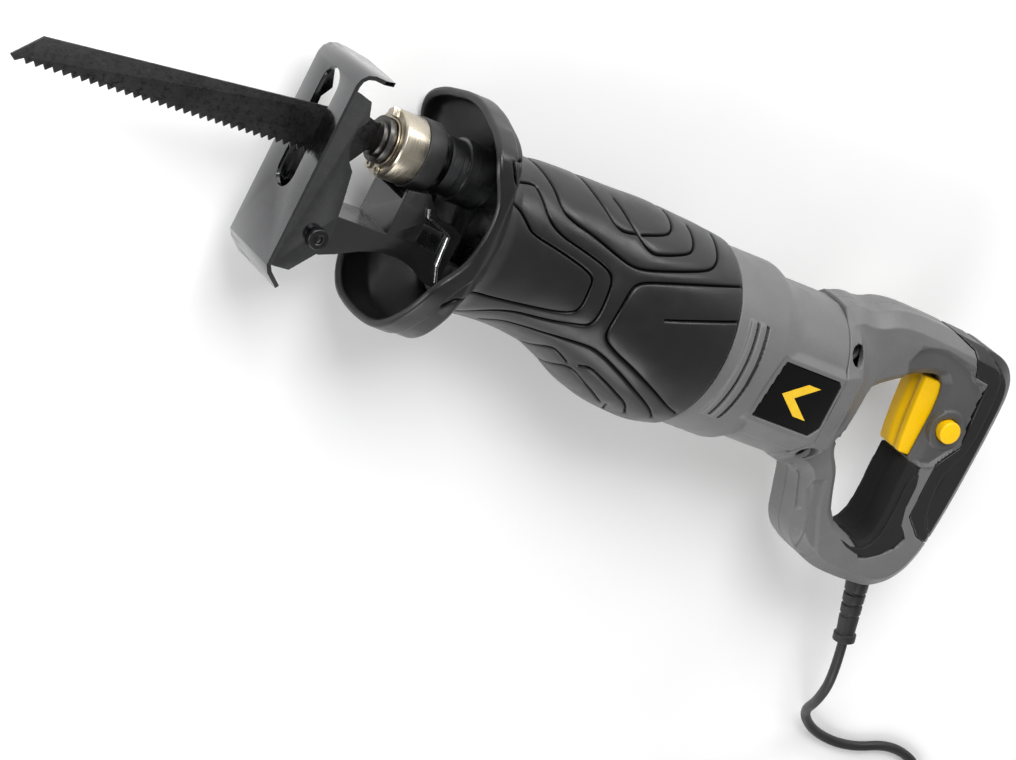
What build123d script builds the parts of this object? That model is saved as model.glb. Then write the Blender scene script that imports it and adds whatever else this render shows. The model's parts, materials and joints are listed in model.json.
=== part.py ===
"""Corded reciprocating saw, lying on its right side.

Every sketch is placed with one of three planes of the saw's own axes, whose
zero is the plunger axis at the front face of the shoe plate:
    x  rearward, from the shoe to the handle
    y  from the tool's underside to its top
    z  from the tool's right side to its left side
The table that the saw lies on is at z = -HALF.
"""
import math
import os

from build123d import *

os.makedirs("parts", exist_ok=True)

# ---------------------------------------------------------------- dimensions
HALF = 46.2                 # half width of the boot and of the nose guard
TIP_X, BACK_X = -139.8, 397.7
TOP_Y, LOW_Y = 34.0, -112.3
OX = -(TIP_X + BACK_X) / 2  # shift from the saw's zero to the middle of its base
OY = -(TOP_Y + LOW_Y) / 2
OZ = HALF

MOTOR_Y = -29.3             # height of the motor axis under the plunger axis
GEAR_X = 128.0              # drive gear axis
CRANK_R = 10.0              # half of the 20 mm stroke
PIN_X, PIN_Z = 134.0, 8.0   # crank pin at rest, 4 mm short of the rear dead centre
ROD_R = 7.0                 # plunger rod
SHAFT_R = 5.0               # armature shaft
RUN = 0.05                  # radial running clearance
BLADE_T = 1.25
PIVOT = (15.5, -46.0)       # shoe pivot
COLLAR_R = 15.8
GEAR_TEETH, PINION_TEETH = 40, 8
BOOT_WALL = 3.6
CORD_D = 5.0
COIL_X, COIL_Y = 484.0, -272.0
COIL_RI, COIL_RO, COIL_H = 20.0, 35.0, 18.0


def side(z):
    """Plane across the tool's width; sketch coordinates are (x, y)."""
    return Plane(origin=(OX, OY, OZ + z), x_dir=(1, 0, 0), z_dir=(0, 0, 1))


def cross(x):
    """Plane across the tool's length; sketch coordinates are (y, z)."""
    return Plane(origin=(OX + x, OY, OZ), x_dir=(0, 1, 0), z_dir=(1, 0, 0))


def deck(y):
    """Plane across the tool's height; sketch coordinates are (z, x)."""
    return Plane(origin=(OX, OY + y, OZ), x_dir=(0, 0, 1), z_dir=(0, 1, 0))


# ------------------------------------------------- outer form of boot and guard
# half width of the guard's rim against height
RIM = [(34.0, 0.0), (33.2, 9.0), (31.0, 18.0), (28.0, 30.0), (22.0, 40.5), (15.0, 44.0),
       (5.0, 45.4), (-5.0, 46.2), (-20.0, 46.2), (-40.0, 46.2), (-47.0, 45.6), (-55.0, 42.5),
       (-62.0, 38.0), (-70.0, 30.5), (-75.0, 21.0), (-76.6, 10.0), (-77.0, 0.0)]
# x, centre height, half height, half width
BOOT = [(97, -22.3, 38.2, 38.6), (120, -20.7, 38.3, 37.8), (140, -21.3, 39.4, 38.6),
        (156, -23.7, 42.0, 41.4), (172, -26.8, 45.6, 44.6), (190, -29.1, 47.2, 46.2),
        (206, -30.0, 47.3, 46.2), (219, -29.6, 45.6, 45.0)]
N = 36
MID = -21.5


def rim_points(inset=0.0):
    """The guard's outline, sampled at N even angles, pulled in by inset."""
    loop = [(y, w) for y, w in RIM] + [(y, -w) for y, w in RIM[-2:0:-1]]
    out = []
    for k in range(N):
        a = 2 * math.pi * k / N
        c, s = math.cos(a), math.sin(a)
        for (y1, z1), (y2, z2) in zip(loop, loop[1:] + loop[:1]):
            dy, dz = y2 - y1, z2 - z1
            det = c * (-dz) - s * (-dy)
            if abs(det) < 1e-9:
                continue
            t = ((y1 - MID) * (-dz) - z1 * (-dy)) / det
            u = (c * z1 - s * (y1 - MID)) / det
            if t > 0 and -1e-6 <= u <= 1 + 1e-6:
                r = t - inset
                out.append((MID + r * c, r * s))
                break
    return out


def boot_points(cy, ry, rz, inset=0.0):
    """An oval section, sampled at the same even angles as the guard's outline."""
    out = []
    ry, rz = ry - inset, rz - inset
    for k in range(N):
        a = 2 * math.pi * k / N
        c, s = math.cos(a), math.sin(a)
        d = MID - cy
        qa = (c / ry) ** 2 + (s / rz) ** 2
        qb = 2 * d * c / ry ** 2
        qc = (d / ry) ** 2 - 1
        t = (-qb + math.sqrt(qb * qb - 4 * qa * qc)) / (2 * qa)
        out.append((MID + t * c, t * s))
    return out


def between(x):
    """The boot's section at any x between its stations."""
    for a, b in zip(BOOT, BOOT[1:]):
        if a[0] <= x <= b[0]:
            f = (x - a[0]) / (b[0] - a[0])
            return tuple(p + f * (q - p) for p, q in zip(a[1:], b[1:]))
    return BOOT[0][1:] if x < BOOT[0][0] else BOOT[-1][1:]


# ------------------------------------------------------------- front grip boot
# Soft sleeve over the gear case, one moulding with the flared nose guard.
with BuildPart() as front_grip_boot:
    with BuildSketch(cross(54)):
        Polygon(*rim_points(), align=None)
    with BuildSketch(cross(80)):
        Polygon(*rim_points(), align=None)
    with BuildSketch(cross(90)):
        Polygon(*boot_points(-22.0, 40.5, 41.5), align=None)
    for x, cy, ry, rz in BOOT:
        with BuildSketch(cross(x)):
            Polygon(*boot_points(cy, ry, rz), align=None)
    loft(ruled=True)
    with BuildSketch(cross(53)):
        Polygon(*rim_points(4.0), align=None)
    with BuildSketch(cross(79)):
        Polygon(*rim_points(4.0), align=None)
    with BuildSketch(cross(93)):
        Polygon(*boot_points(*between(97), inset=BOOT_WALL), align=None)
    with BuildSketch(cross(97)):
        Polygon(*boot_points(*between(97), inset=BOOT_WALL), align=None)
    for x in (120, 140, 156, 172, 190, 206, 219.5):
        with BuildSketch(cross(x)):
            Polygon(*boot_points(*between(x), inset=BOOT_WALL), align=None)
    loft(ruled=True, mode=Mode.SUBTRACT)
    # the rim dips back at its flanks and reaches forward at its top and chin
    with BuildSketch(side(-60)):
        with BuildLine():
            Polyline((67.7, 40), (66.8, 24), (69, 15), (73.5, 7), (77, -1), (77.6, -14),
                     (75.8, -26), (72.5, -33.5), (66.5, -42), (63.5, -50), (59.2, -78),
                     (59.2, -85), (230, -85), (230, 40), (67.7, 40))
        make_face()
    extrude(amount=120, mode=Mode.INTERSECT)
front_grip_boot.part.label = "front_grip_boot"
export_step(front_grip_boot.part, "parts/front_grip_boot.step")

# ------------------------------------------------------------------- gear case
CASE_GAP = 0.4
CASE_WALL = 3.2
with BuildPart() as case_form:
    for x in (93, 97, 120, 140, 156, 172.8):
        with BuildSketch(cross(x)):
            Polygon(*boot_points(*between(x), inset=BOOT_WALL + CASE_GAP), align=None)
    loft(ruled=True)
    for x in (98, 120, 140, 156, 173):
        with BuildSketch(cross(x)):
            Polygon(*boot_points(*between(x), inset=BOOT_WALL + CASE_GAP + CASE_WALL), align=None)
    loft(ruled=True, mode=Mode.SUBTRACT)
    # neck around the plunger, stepped like a turned casting
    with BuildSketch(cross(64.6)):
        Circle(13.2)
    extrude(amount=10)
    with BuildSketch(cross(74)):
        Circle(14.6)
    extrude(amount=14)
    with BuildSketch(cross(88)):
        Circle(11.9)
    extrude(amount=6)
    # two ribs brace the neck against the case's front wall
    with BuildSketch(side(-2)):
        Polygon((84.6, -13), (93.5, -13), (93.5, -33), (88, -31), align=None)
    extrude(amount=4)
    # bulkhead that carries the rear bush
    with BuildSketch(cross(149.2)):
        Polygon((-11, -14), (10, -14), (12.4, -8), (12.4, 8), (10, 14), (-11, 14), align=None)
    extrude(amount=6.6)
    with BuildSketch(cross(60)):
        Circle(10.0)
    extrude(amount=100, mode=Mode.SUBTRACT)

with BuildPart() as gear_case_upper:
    add(case_form.part)
    split(bisect_by=deck(-11), keep=Keep.TOP)
gear_case_upper.part.label = "gear_case_upper"
export_step(gear_case_upper.part, "parts/gear_case_upper.step")

with BuildPart() as gear_case_lower:
    add(case_form.part)
    split(bisect_by=deck(-11), keep=Keep.BOTTOM)
    # seat of the gear shaft's lower bearing, on the case floor
    with BuildSketch(deck(-51.6)):
        with Locations((0, GEAR_X)):
            Circle(13.4)
    extrude(amount=10)
    with BuildSketch(deck(-49.5)):
        with Locations((0, GEAR_X)):
            Circle(11)
    extrude(amount=20, mode=Mode.SUBTRACT)
    # flat pads that the shoe arm is bolted to
    with BuildSketch(cross(84.05)):
        with Locations((-44, 10.5), (-44, -10.5)):
            Rectangle(12, 9)
    extrude(amount=10)
    with BuildSketch(cross(80)):
        with Locations((-44, 10.5), (-44, -10.5)):
            Circle(2.0)
    extrude(amount=18, mode=Mode.SUBTRACT)
gear_case_lower.part.label = "gear_case_lower"
export_step(gear_case_lower.part, "parts/gear_case_lower.step")

# ------------------------------------------------------------ plunger and bushes
with BuildPart() as plunger:
    with BuildSketch(cross(50)):
        Circle(ROD_R)
    extrude(amount=74)
    with BuildSketch(cross(124)):
        with Locations((-2, 0)):
            Rectangle(12, 34)
    extrude(amount=20)
    with BuildSketch(cross(144)):
        Circle(ROD_R)
    extrude(amount=24)
    # cross slot that the crank roller runs in
    with BuildSketch(deck(-9)):
        with Locations((0, PIN_X)):
            SlotOverall(30, 10.4)
    extrude(amount=18, mode=Mode.SUBTRACT)
plunger.part.label = "plunger"
export_step(plunger.part, "parts/plunger.step")

with BuildPart() as plunger_front_bush:
    with BuildSketch(cross(75)):
        Circle(9.95)
        Circle(ROD_R + RUN, mode=Mode.SUBTRACT)
    extrude(amount=22)
plunger_front_bush.part.label = "plunger_front_bush"
export_step(plunger_front_bush.part, "parts/plunger_front_bush.step")

with BuildPart() as plunger_rear_bush:
    with BuildSketch(cross(149.2)):
        Circle(9.95)
        Circle(ROD_R + RUN, mode=Mode.SUBTRACT)
    extrude(amount=6.6)
plunger_rear_bush.part.label = "plunger_rear_bush"
export_step(plunger_rear_bush.part, "parts/plunger_rear_bush.step")

with BuildPart() as dust_seal:
    with BuildSketch(cross(66)):
        Circle(9.95)
        Circle(ROD_R + RUN, mode=Mode.SUBTRACT)
    extrude(amount=4)
    with BuildSketch(cross(70)):
        Circle(9.95)
        Circle(8.2, mode=Mode.SUBTRACT)
    extrude(amount=4.5)
dust_seal.part.label = "dust_seal"
export_step(dust_seal.part, "parts/dust_seal.step")

# ----------------------------------------------------------------- blade clamp
with BuildPart() as clamp_nose:
    with BuildSketch(cross(31)):
        Circle(8.4)
    extrude(amount=2)
    with BuildSketch(cross(33)):
        Circle(10.6)
    extrude(amount=3)
    with BuildSketch(cross(36)):
        Circle(9.2)
    extrude(amount=24.5)
    with BuildSketch(cross(50)):
        Circle(ROD_R)
    extrude(amount=12, mode=Mode.SUBTRACT)
    # slot for the blade shank
    with BuildSketch(cross(30)):
        Rectangle(13.2, 1.6)
    extrude(amount=20, mode=Mode.SUBTRACT)
    # groove of the retaining ring, and the bore of the locking pin
    with BuildSketch(cross(36.6)):
        Circle(9.3)
        Circle(8.5, mode=Mode.SUBTRACT)
    extrude(amount=1.0, mode=Mode.SUBTRACT)
    with BuildSketch(side(0.8)):
        with Locations((44, 0)):
            Circle(1.6)
    extrude(amount=10, mode=Mode.SUBTRACT)
clamp_nose.part.label = "clamp_nose"
export_step(clamp_nose.part, "parts/clamp_nose.step")

with BuildPart() as collar_sleeve:
    with BuildSketch(cross(37.8)):
        Circle(COLLAR_R)
    extrude(amount=12.4)
    chamfer(collar_sleeve.edges().filter_by(GeomType.CIRCLE).sort_by(Axis.X)[0], 0.9)
    with BuildSketch(cross(50.2)):
        Circle(12.6)
    extrude(amount=9.8)
    with BuildSketch(cross(37)):
        Circle(9.2 + RUN)
    extrude(amount=24, mode=Mode.SUBTRACT)
    with BuildSketch(cross(41)):
        Circle(12.4)
    extrude(amount=7, mode=Mode.SUBTRACT)
    # thumb lug on the sleeve's front face
    with BuildSketch(cross(34.6)):
        Polygon((13.2, -5.2), (15.6, -1.6), (12.0, 0.6), (10.9, -4.6), align=None)
    extrude(amount=3.3)
collar_sleeve.part.label = "collar_sleeve"
export_step(collar_sleeve.part, "parts/collar_sleeve.step")

with BuildPart() as collar_grip_ring:
    with BuildSketch(cross(50.3)):
        Circle(16.4)
        Circle(12.6, mode=Mode.SUBTRACT)
    extrude(amount=9.6)
    fillet(collar_grip_ring.edges().filter_by(GeomType.CIRCLE).group_by(Axis.X)[-1].sort_by(SortBy.RADIUS)[-1], 1.0)
collar_grip_ring.part.label = "collar_grip_ring"
export_step(collar_grip_ring.part, "parts/collar_grip_ring.step")

with BuildPart() as collar_spring:
    # one open turn of round wire with its two legs
    with BuildSketch(cross(42.4)):
        with BuildLine():
            CenterArc((0, 0), 11.6, 20, 300)
            CenterArc((0, 0), 10.2, 20, 300)
            Line((10.2 * math.cos(math.radians(20)), 10.2 * math.sin(math.radians(20))),
                 (11.6 * math.cos(math.radians(20)), 11.6 * math.sin(math.radians(20))))
            Line((10.2 * math.cos(math.radians(320)), 10.2 * math.sin(math.radians(320))),
                 (11.6 * math.cos(math.radians(320)), 11.6 * math.sin(math.radians(320))))
        make_face()
    extrude(amount=1.4)
collar_spring.part.label = "collar_spring"
export_step(collar_spring.part, "parts/collar_spring.step")

with BuildPart() as snap_ring:
    with BuildSketch(cross(36.7)):
        Circle(11.4)
        Circle(8.6, mode=Mode.SUBTRACT)
        with Locations((-11, 0)):
            Rectangle(8, 4.4, mode=Mode.SUBTRACT)
        with Locations((-12.2, 4.2), (-12.2, -4.2)):
            Circle(2.3)
            Circle(0.9, mode=Mode.SUBTRACT)
        with Locations((-9.0, 0)):
            Rectangle(6.0, 4.0, mode=Mode.SUBTRACT)
    extrude(amount=0.8)
snap_ring.part.label = "snap_ring"
export_step(snap_ring.part, "parts/snap_ring.step")

with BuildPart() as blade_lock_pin:
    with BuildSketch(side(-0.6)):
        with Locations((44, 0)):
            Circle(1.5)
    extrude(amount=9.6)
blade_lock_pin.part.label = "blade_lock_pin"
export_step(blade_lock_pin.part, "parts/blade_lock_pin.step")

# ----------------------------------------------------------------------- blade
teeth = []
x = 24.5
while x > -134.0:
    frac = (24.5 - x) / 160.0
    pitch = 3.4 + 1.1 * frac
    y_line = -15.9 - (24.5 - x) * 0.0647
    teeth.append((x, y_line))                         # tooth point
    teeth.append((x - 0.42 * pitch, y_line + 2.2))    # gullet
    x -= pitch
with BuildPart() as blade:
    with BuildSketch(side(-BLADE_T / 2)):
        with BuildLine():
            Polyline((49, 6.3), (29.5, 6.3), (25, 7.5), (4.8, 4.8), (-129.2, -12.3),
                     (TIP_X, -24.4), (-136.8, -26.3), *reversed(teeth),
                     (27.5, -11.5), (30.6, -6.3), (49, -6.3), (49, 6.3))
        make_face()
        with Locations((44, 0)):
            Circle(2.6, mode=Mode.SUBTRACT)
    extrude(amount=BLADE_T)
blade.part.label = "blade"
export_step(blade.part, "parts/blade.step")

# ------------------------------------------------------------------------ shoe
with BuildPart() as shoe_plate:
    # front plate with the curl at its top and the lip at its foot
    with BuildSketch(side(-22.5)):
        with BuildLine():
            Polyline((0, -65), (0, 22), (1.0, 25.2), (3.4, 27.6), (7, 28.6), (20.2, 28.0),
                     (20.1, 26.0), (7.2, 26.6), (4.4, 25.9), (2.7, 24.2), (2, 21.4),
                     (2, -64.4), (3.7, -66.9), (10.0, -71.6), (8.8, -73.2), (2.1, -68.2), (0, -65))
        make_face()
    extrude(amount=45)
    # side flanges
    with BuildSketch(side(20.4)):
        with BuildLine():
            Polyline((1, -64.2), (3.7, -64.2), (10.7, -63.6), (19.5, -52.5), (22.4, -43.5),
                     (20.8, -33.8), (19.4, -25.2), (17.1, -13.6), (13.4, -9.8), (10.4, -3.5),
                     (10.2, 4.4), (13.4, 9.7), (10.4, 17.6), (3.3, 19.3), (1, 19.3), (1, -64.2))
        make_face()
        with Locations(PIVOT):
            Circle(2.6, mode=Mode.SUBTRACT)
    extrude(amount=2.1)
    with BuildSketch(side(-22.5)):
        with BuildLine():
            Polyline((1, -64.2), (3.7, -64.2), (10.7, -63.6), (19.5, -52.5), (22.4, -43.5),
                     (20.8, -33.8), (19.4, -25.2), (17.1, -13.6), (13.4, -9.8), (10.4, -3.5),
                     (10.2, 4.4), (13.4, 9.7), (10.4, 17.6), (3.3, 19.3), (1, 19.3), (1, -64.2))
        make_face()
        with Locations(PIVOT):
            Circle(2.6, mode=Mode.SUBTRACT)
    extrude(amount=2.1)
    # long slot that the blade works through
    with BuildSketch(cross(-1)):
        with Locations((-6.5, 0)):
            SlotOverall(57, 17)
    extrude(amount=5, mode=Mode.SUBTRACT)
    # clipped corners of the curl
    with BuildSketch(deck(24)):
        Polygon((22.6, 12), (22.6, 21), (15.5, 21), align=None)
        Polygon((-22.6, 12), (-22.6, 21), (-15.5, 21), align=None)
    extrude(amount=6, mode=Mode.SUBTRACT)
shoe_plate.part.label = "shoe_plate"
export_step(shoe_plate.part, "parts/shoe_plate.step")

# arm that carries the shoe: a channel with an upright under the collar
with BuildPart() as shoe_arm:
    with BuildSketch(side(-16)):
        with BuildLine():
            Polyline((8.5, -46), (9.5, -41), (13, -37.6), (25, -35.3), (49.8, -34.8), (49.8, -18.2),
                     (62, -18.2), (72, -20.5), (78, -21), (84, -24), (84, -50), (77.5, -49.5), (70, -45.6),
                     (61, -43), (50, -43.6), (41, -46.6), (31, -51.5), (24, -54.2), (14, -53.8),
                     (10, -51), (8.5, -46))
        make_face()
    extrude(amount=32)
    # cheeks only, under and beside the web
    with BuildSketch(side(-13.6)):
        with BuildLine():
            Polyline((0, -60), (0, -30), (24, -30), (24, -37.5), (51, -37.3), (51, -22), (53, -20.6),
                     (80, -23), (80, -60), (0, -60))
        make_face()
    extrude(amount=27.2, mode=Mode.SUBTRACT)
    # front wall of the upright, and the cheeks' rise beside the collar
    with BuildSketch(cross(49.8)):
        with Locations((-27.5, 0)):
            Rectangle(17, 28)
    extrude(amount=2)
    with BuildSketch(side(13.6)):
        Polygon((49.8, -30), (49.8, -13.5), (61, -11.5), (66, -17), (72, -22), (72, -30), align=None)
    extrude(amount=2.4)
    with BuildSketch(side(-16)):
        Polygon((49.8, -30), (49.8, -13.5), (61, -11.5), (66, -17), (72, -22), (72, -30), align=None)
    extrude(amount=2.4)
    # window in the upright's cheeks
    with BuildSketch(side(-20)):
        Polygon((64, -24.5), (76, -25.5), (76, -35), (64, -34), align=None)
    extrude(amount=40, mode=Mode.SUBTRACT)
    # holes of the pivot bolt and of the two fixing screws
    with BuildSketch(side(-20)):
        with Locations(PIVOT):
            Circle(2.6)
    extrude(amount=40, mode=Mode.SUBTRACT)
    with BuildSketch(cross(78)):
        with Locations((-44, 10.5), (-44, -10.5)):
            Circle(2.0)
    extrude(amount=10, mode=Mode.SUBTRACT)
shoe_arm.part.label = "shoe_arm"
export_step(shoe_arm.part, "parts/shoe_arm.step")

with BuildPart() as arm_screws:
    with BuildSketch(cross(77)):
        with Locations((-44, 10.5), (-44, -10.5)):
            Circle(3.0)
    extrude(amount=3.0)
    with BuildSketch(cross(80)):
        with Locations((-44, 10.5), (-44, -10.5)):
            Circle(1.98)
    extrude(amount=13)
arm_screws.part.label = "arm_screws"
export_step(arm_screws.part, "parts/arm_screws.step")

with BuildPart() as shoe_pivot_bolt:
    with BuildSketch(side(-24.8)):
        with Locations(PIVOT):
            Circle(2.55)
    extrude(amount=47.4)
    with BuildSketch(side(22.6)):
        with Locations(PIVOT):
            Circle(4.7)
    extrude(amount=3.2)
    with BuildSketch(side(24.0)):
        with Locations(PIVOT):
            RegularPolygon(2.2, 6)
    extrude(amount=3, mode=Mode.SUBTRACT)
shoe_pivot_bolt.part.label = "shoe_pivot_bolt"
export_step(shoe_pivot_bolt.part, "parts/shoe_pivot_bolt.step")

with BuildPart() as shoe_pivot_nut:
    with BuildSketch(side(-26.6)):
        with Locations(PIVOT):
            RegularPolygon(4.6, 6)
            Circle(2.56, mode=Mode.SUBTRACT)
    extrude(amount=4.0)
shoe_pivot_nut.part.label = "shoe_pivot_nut"
export_step(shoe_pivot_nut.part, "parts/shoe_pivot_nut.step")

with BuildPart() as pivot_washers:
    with BuildSketch(side(16.05)):
        with Locations(PIVOT):
            Circle(6.2)
            Circle(2.6, mode=Mode.SUBTRACT)
    extrude(amount=4.3)
    with BuildSketch(side(-20.35)):
        with Locations(PIVOT):
            Circle(6.2)
            Circle(2.6, mode=Mode.SUBTRACT)
    extrude(amount=4.3)
pivot_washers.part.label = "pivot_washers"
export_step(pivot_washers.part, "parts/pivot_washers.step")

# spring wire bail that keeps the arm's tail against the case
with BuildPart() as arm_wire_clip:
    with BuildLine():
        FilletPolyline(*[side(0).from_local_coords((px, py)) + Vector(0, 0, pz) for px, py, pz in
                         [(62.5, -17.4, 16.9), (64, -21, 16.9), (77.5, -25.6, 16.9), (79.0, -40, 16.9),
                          (82.0, -47, 16.9)]], radius=1.4)
    with BuildSketch(Plane(origin=side(0).from_local_coords((62.5, -17.4)) + Vector(0, 0, 16.9),
                           z_dir=(1.5, -3.6, 0))):
        Circle(0.75)
    sweep()
arm_wire_clip.part.label = "arm_wire_clip"
export_step(arm_wire_clip.part, "parts/arm_wire_clip.step")

# ------------------------------------------------------------------ drive gear
with BuildPart() as drive_gear:
    with BuildSketch(deck(-22.6)):
        with Locations((0, GEAR_X)):
            Circle(28.4)
    extrude(amount=8.6)
    # face teeth, pointing down at the pinion
    with BuildSketch(deck(-25.4)):
        with Locations((0, GEAR_X)):
            with PolarLocations(25.4, GEAR_TEETH, start_angle=90 + 180 / GEAR_TEETH):
                Rectangle(5.6, 1.1)
    extrude(amount=3.0)
    with BuildSketch(deck(-36)):
        with Locations((0, GEAR_X)):
            Circle(9)
    extrude(amount=14)
    # shaft bore, and the bore of the crank pin
    with BuildSketch(deck(-37)):
        with Locations((0, GEAR_X)):
            Circle(5)
    extrude(amount=23, mode=Mode.SUBTRACT)
    with BuildSketch(deck(-20)):
        with Locations((PIN_Z, PIN_X)):
            Circle(3)
    extrude(amount=7, mode=Mode.SUBTRACT)
    # balance pockets on the crank pin's side
    with BuildSketch(deck(-17)):
        with Locations((16, GEAR_X + 6), (8, GEAR_X + 17.5), (17.5, GEAR_X + 16.5)):
            Circle(3.2)
    extrude(amount=4, mode=Mode.SUBTRACT)
drive_gear.part.label = "drive_gear"
export_step(drive_gear.part, "parts/drive_gear.step")

with BuildPart() as gear_shaft:
    with BuildSketch(deck(-49)):
        with Locations((0, GEAR_X)):
            Circle(5)
    extrude(amount=34.5)
gear_shaft.part.label = "gear_shaft"
export_step(gear_shaft.part, "parts/gear_shaft.step")

with BuildPart() as gear_bearing:
    with BuildSketch(deck(-49.4)):
        with Locations((0, GEAR_X)):
            Circle(10.95)
            Circle(5 + RUN, mode=Mode.SUBTRACT)
    extrude(amount=7.6)
gear_bearing.part.label = "gear_bearing"
export_step(gear_bearing.part, "parts/gear_bearing.step")

with BuildPart() as crank_pin:
    with BuildSketch(deck(-20)):
        with Locations((PIN_Z, PIN_X)):
            Circle(3)
    extrude(amount=11.4)
crank_pin.part.label = "crank_pin"
export_step(crank_pin.part, "parts/crank_pin.step")

with BuildPart() as crank_roller:
    with BuildSketch(deck(-13.6)):
        with Locations((PIN_Z, PIN_X)):
            Circle(5.0)
            Circle(3.0, mode=Mode.SUBTRACT)
    extrude(amount=5.0)
crank_roller.part.label = "crank_roller"
export_step(crank_roller.part, "parts/crank_roller.step")

# -------------------------------------------------------------------- armature
with BuildPart() as armature_shaft:
    with BuildSketch(cross(150)):
        with Locations((MOTOR_Y, 0)):
            Circle(3.3)
        for k in range(PINION_TEETH):
            a = 2 * math.pi / PINION_TEETH * k
            c, s = math.cos(a), math.sin(a)
            Polygon(*[(MOTOR_Y + r * c - w * s, r * s + w * c) for r, w in
                      [(2.9, -1.0), (5.6, -0.38), (5.6, 0.38), (2.9, 1.0)]], align=None)
    extrude(amount=6.2)
    with BuildSketch(cross(156.2)):
        with Locations((MOTOR_Y, 0)):
            Circle(3.3)
    extrude(amount=10.8)
    with BuildSketch(cross(167)):
        with Locations((MOTOR_Y, 0)):
            Circle(SHAFT_R)
    extrude(amount=103)
    with BuildSketch(cross(270)):
        with Locations((MOTOR_Y, 0)):
            Circle(4)
    extrude(amount=9.6)
armature_shaft.part.label = "armature_shaft"
export_step(armature_shaft.part, "parts/armature_shaft.step")

with BuildPart() as armature_core:
    with BuildSketch(cross(200)):
        with Locations((MOTOR_Y, 0)):
            Circle(22)
            Circle(SHAFT_R, mode=Mode.SUBTRACT)
            with PolarLocations(19.2, 12):
                Rectangle(7.5, 2.4, mode=Mode.SUBTRACT)
    extrude(amount=42)
armature_core.part.label = "armature_core"
export_step(armature_core.part, "parts/armature_core.step")

with BuildPart() as armature_windings:
    with BuildSketch(cross(193)):
        with Locations((MOTOR_Y, 0)):
            Circle(19.5)
            Circle(SHAFT_R, mode=Mode.SUBTRACT)
    extrude(amount=7)
    with BuildSketch(cross(242)):
        with Locations((MOTOR_Y, 0)):
            Circle(19.0)
            Circle(SHAFT_R, mode=Mode.SUBTRACT)
    extrude(amount=7)
    fillet(armature_windings.edges().filter_by(GeomType.CIRCLE).group_by(Axis.X)[0].sort_by(SortBy.RADIUS)[-1], 3)
    fillet(armature_windings.edges().filter_by(GeomType.CIRCLE).group_by(Axis.X)[-1].sort_by(SortBy.RADIUS)[-1], 3)
armature_windings.part.label = "armature_windings"
export_step(armature_windings.part, "parts/armature_windings.step")

with BuildPart() as commutator:
    with BuildSketch(cross(250)):
        with Locations((MOTOR_Y, 0)):
            Circle(11.5)
            Circle(SHAFT_R, mode=Mode.SUBTRACT)
            with PolarLocations(11.3, 24):
                Rectangle(1.6, 0.5, mode=Mode.SUBTRACT)
    extrude(amount=12)
commutator.part.label = "commutator"
export_step(commutator.part, "parts/commutator.step")

with BuildPart() as cooling_fan:
    with BuildSketch(cross(183)):
        with Locations((MOTOR_Y, 0)):
            Circle(36)
            Circle(SHAFT_R, mode=Mode.SUBTRACT)
    extrude(amount=1.6)
    with BuildSketch(cross(184.6)):
        with Locations((MOTOR_Y, 0)):
            Circle(11)
            Circle(SHAFT_R, mode=Mode.SUBTRACT)
            with PolarLocations(23, 11):
                Rectangle(25, 1.6, rotation=12)
    extrude(amount=7.4)
cooling_fan.part.label = "cooling_fan"
export_step(cooling_fan.part, "parts/cooling_fan.step")

with BuildPart() as motor_front_bearing:
    with BuildSketch(cross(174)):
        with Locations((MOTOR_Y, 0)):
            Circle(13)
            Circle(SHAFT_R + RUN, mode=Mode.SUBTRACT)
    extrude(amount=6)
motor_front_bearing.part.label = "motor_front_bearing"
export_step(motor_front_bearing.part, "parts/motor_front_bearing.step")

with BuildPart() as motor_rear_bearing:
    with BuildSketch(cross(272)):
        with Locations((MOTOR_Y, 0)):
            Circle(11)
            Circle(4 + RUN, mode=Mode.SUBTRACT)
    extrude(amount=7)
motor_rear_bearing.part.label = "motor_rear_bearing"
export_step(motor_rear_bearing.part, "parts/motor_rear_bearing.step")

# plate between gear case and motor, which seats the front bearing
with BuildPart() as bearing_plate:
    with BuildSketch(cross(173)):
        Polygon(*boot_points(*between(173), inset=BOOT_WALL + 0.8), align=None)
    extrude(amount=5.4)
    with BuildSketch(cross(178.4)):
        with Locations((MOTOR_Y, 0)):
            Circle(16)
    extrude(amount=2)
    with BuildSketch(cross(173)):
        with Locations((MOTOR_Y, 0)):
            Circle(13)
    extrude(amount=7.5, mode=Mode.SUBTRACT)
    with BuildSketch(cross(173)):
        with Locations((MOTOR_Y, 0)):
            Circle(13.6)
            Circle(6.5, mode=Mode.SUBTRACT)
    extrude(amount=0.9)
    # relief behind the plunger's tail
    with BuildSketch(cross(172.9)):
        Circle(8.2)
    extrude(amount=2, mode=Mode.SUBTRACT)
bearing_plate.part.label = "bearing_plate"
export_step(bearing_plate.part, "parts/bearing_plate.step")

# ---------------------------------------------------------------------- stator
with BuildPart() as stator_core:
    with BuildSketch(cross(200)):
        with Locations((MOTOR_Y, 0)):
            Circle(38.2)
            Circle(22.7, mode=Mode.SUBTRACT)
            with Locations((0, 28.5), (0, -28.5)):
                Rectangle(30, 7, mode=Mode.SUBTRACT)
    extrude(amount=42)
stator_core.part.label = "stator_core"
export_step(stator_core.part, "parts/stator_core.step")

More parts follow.
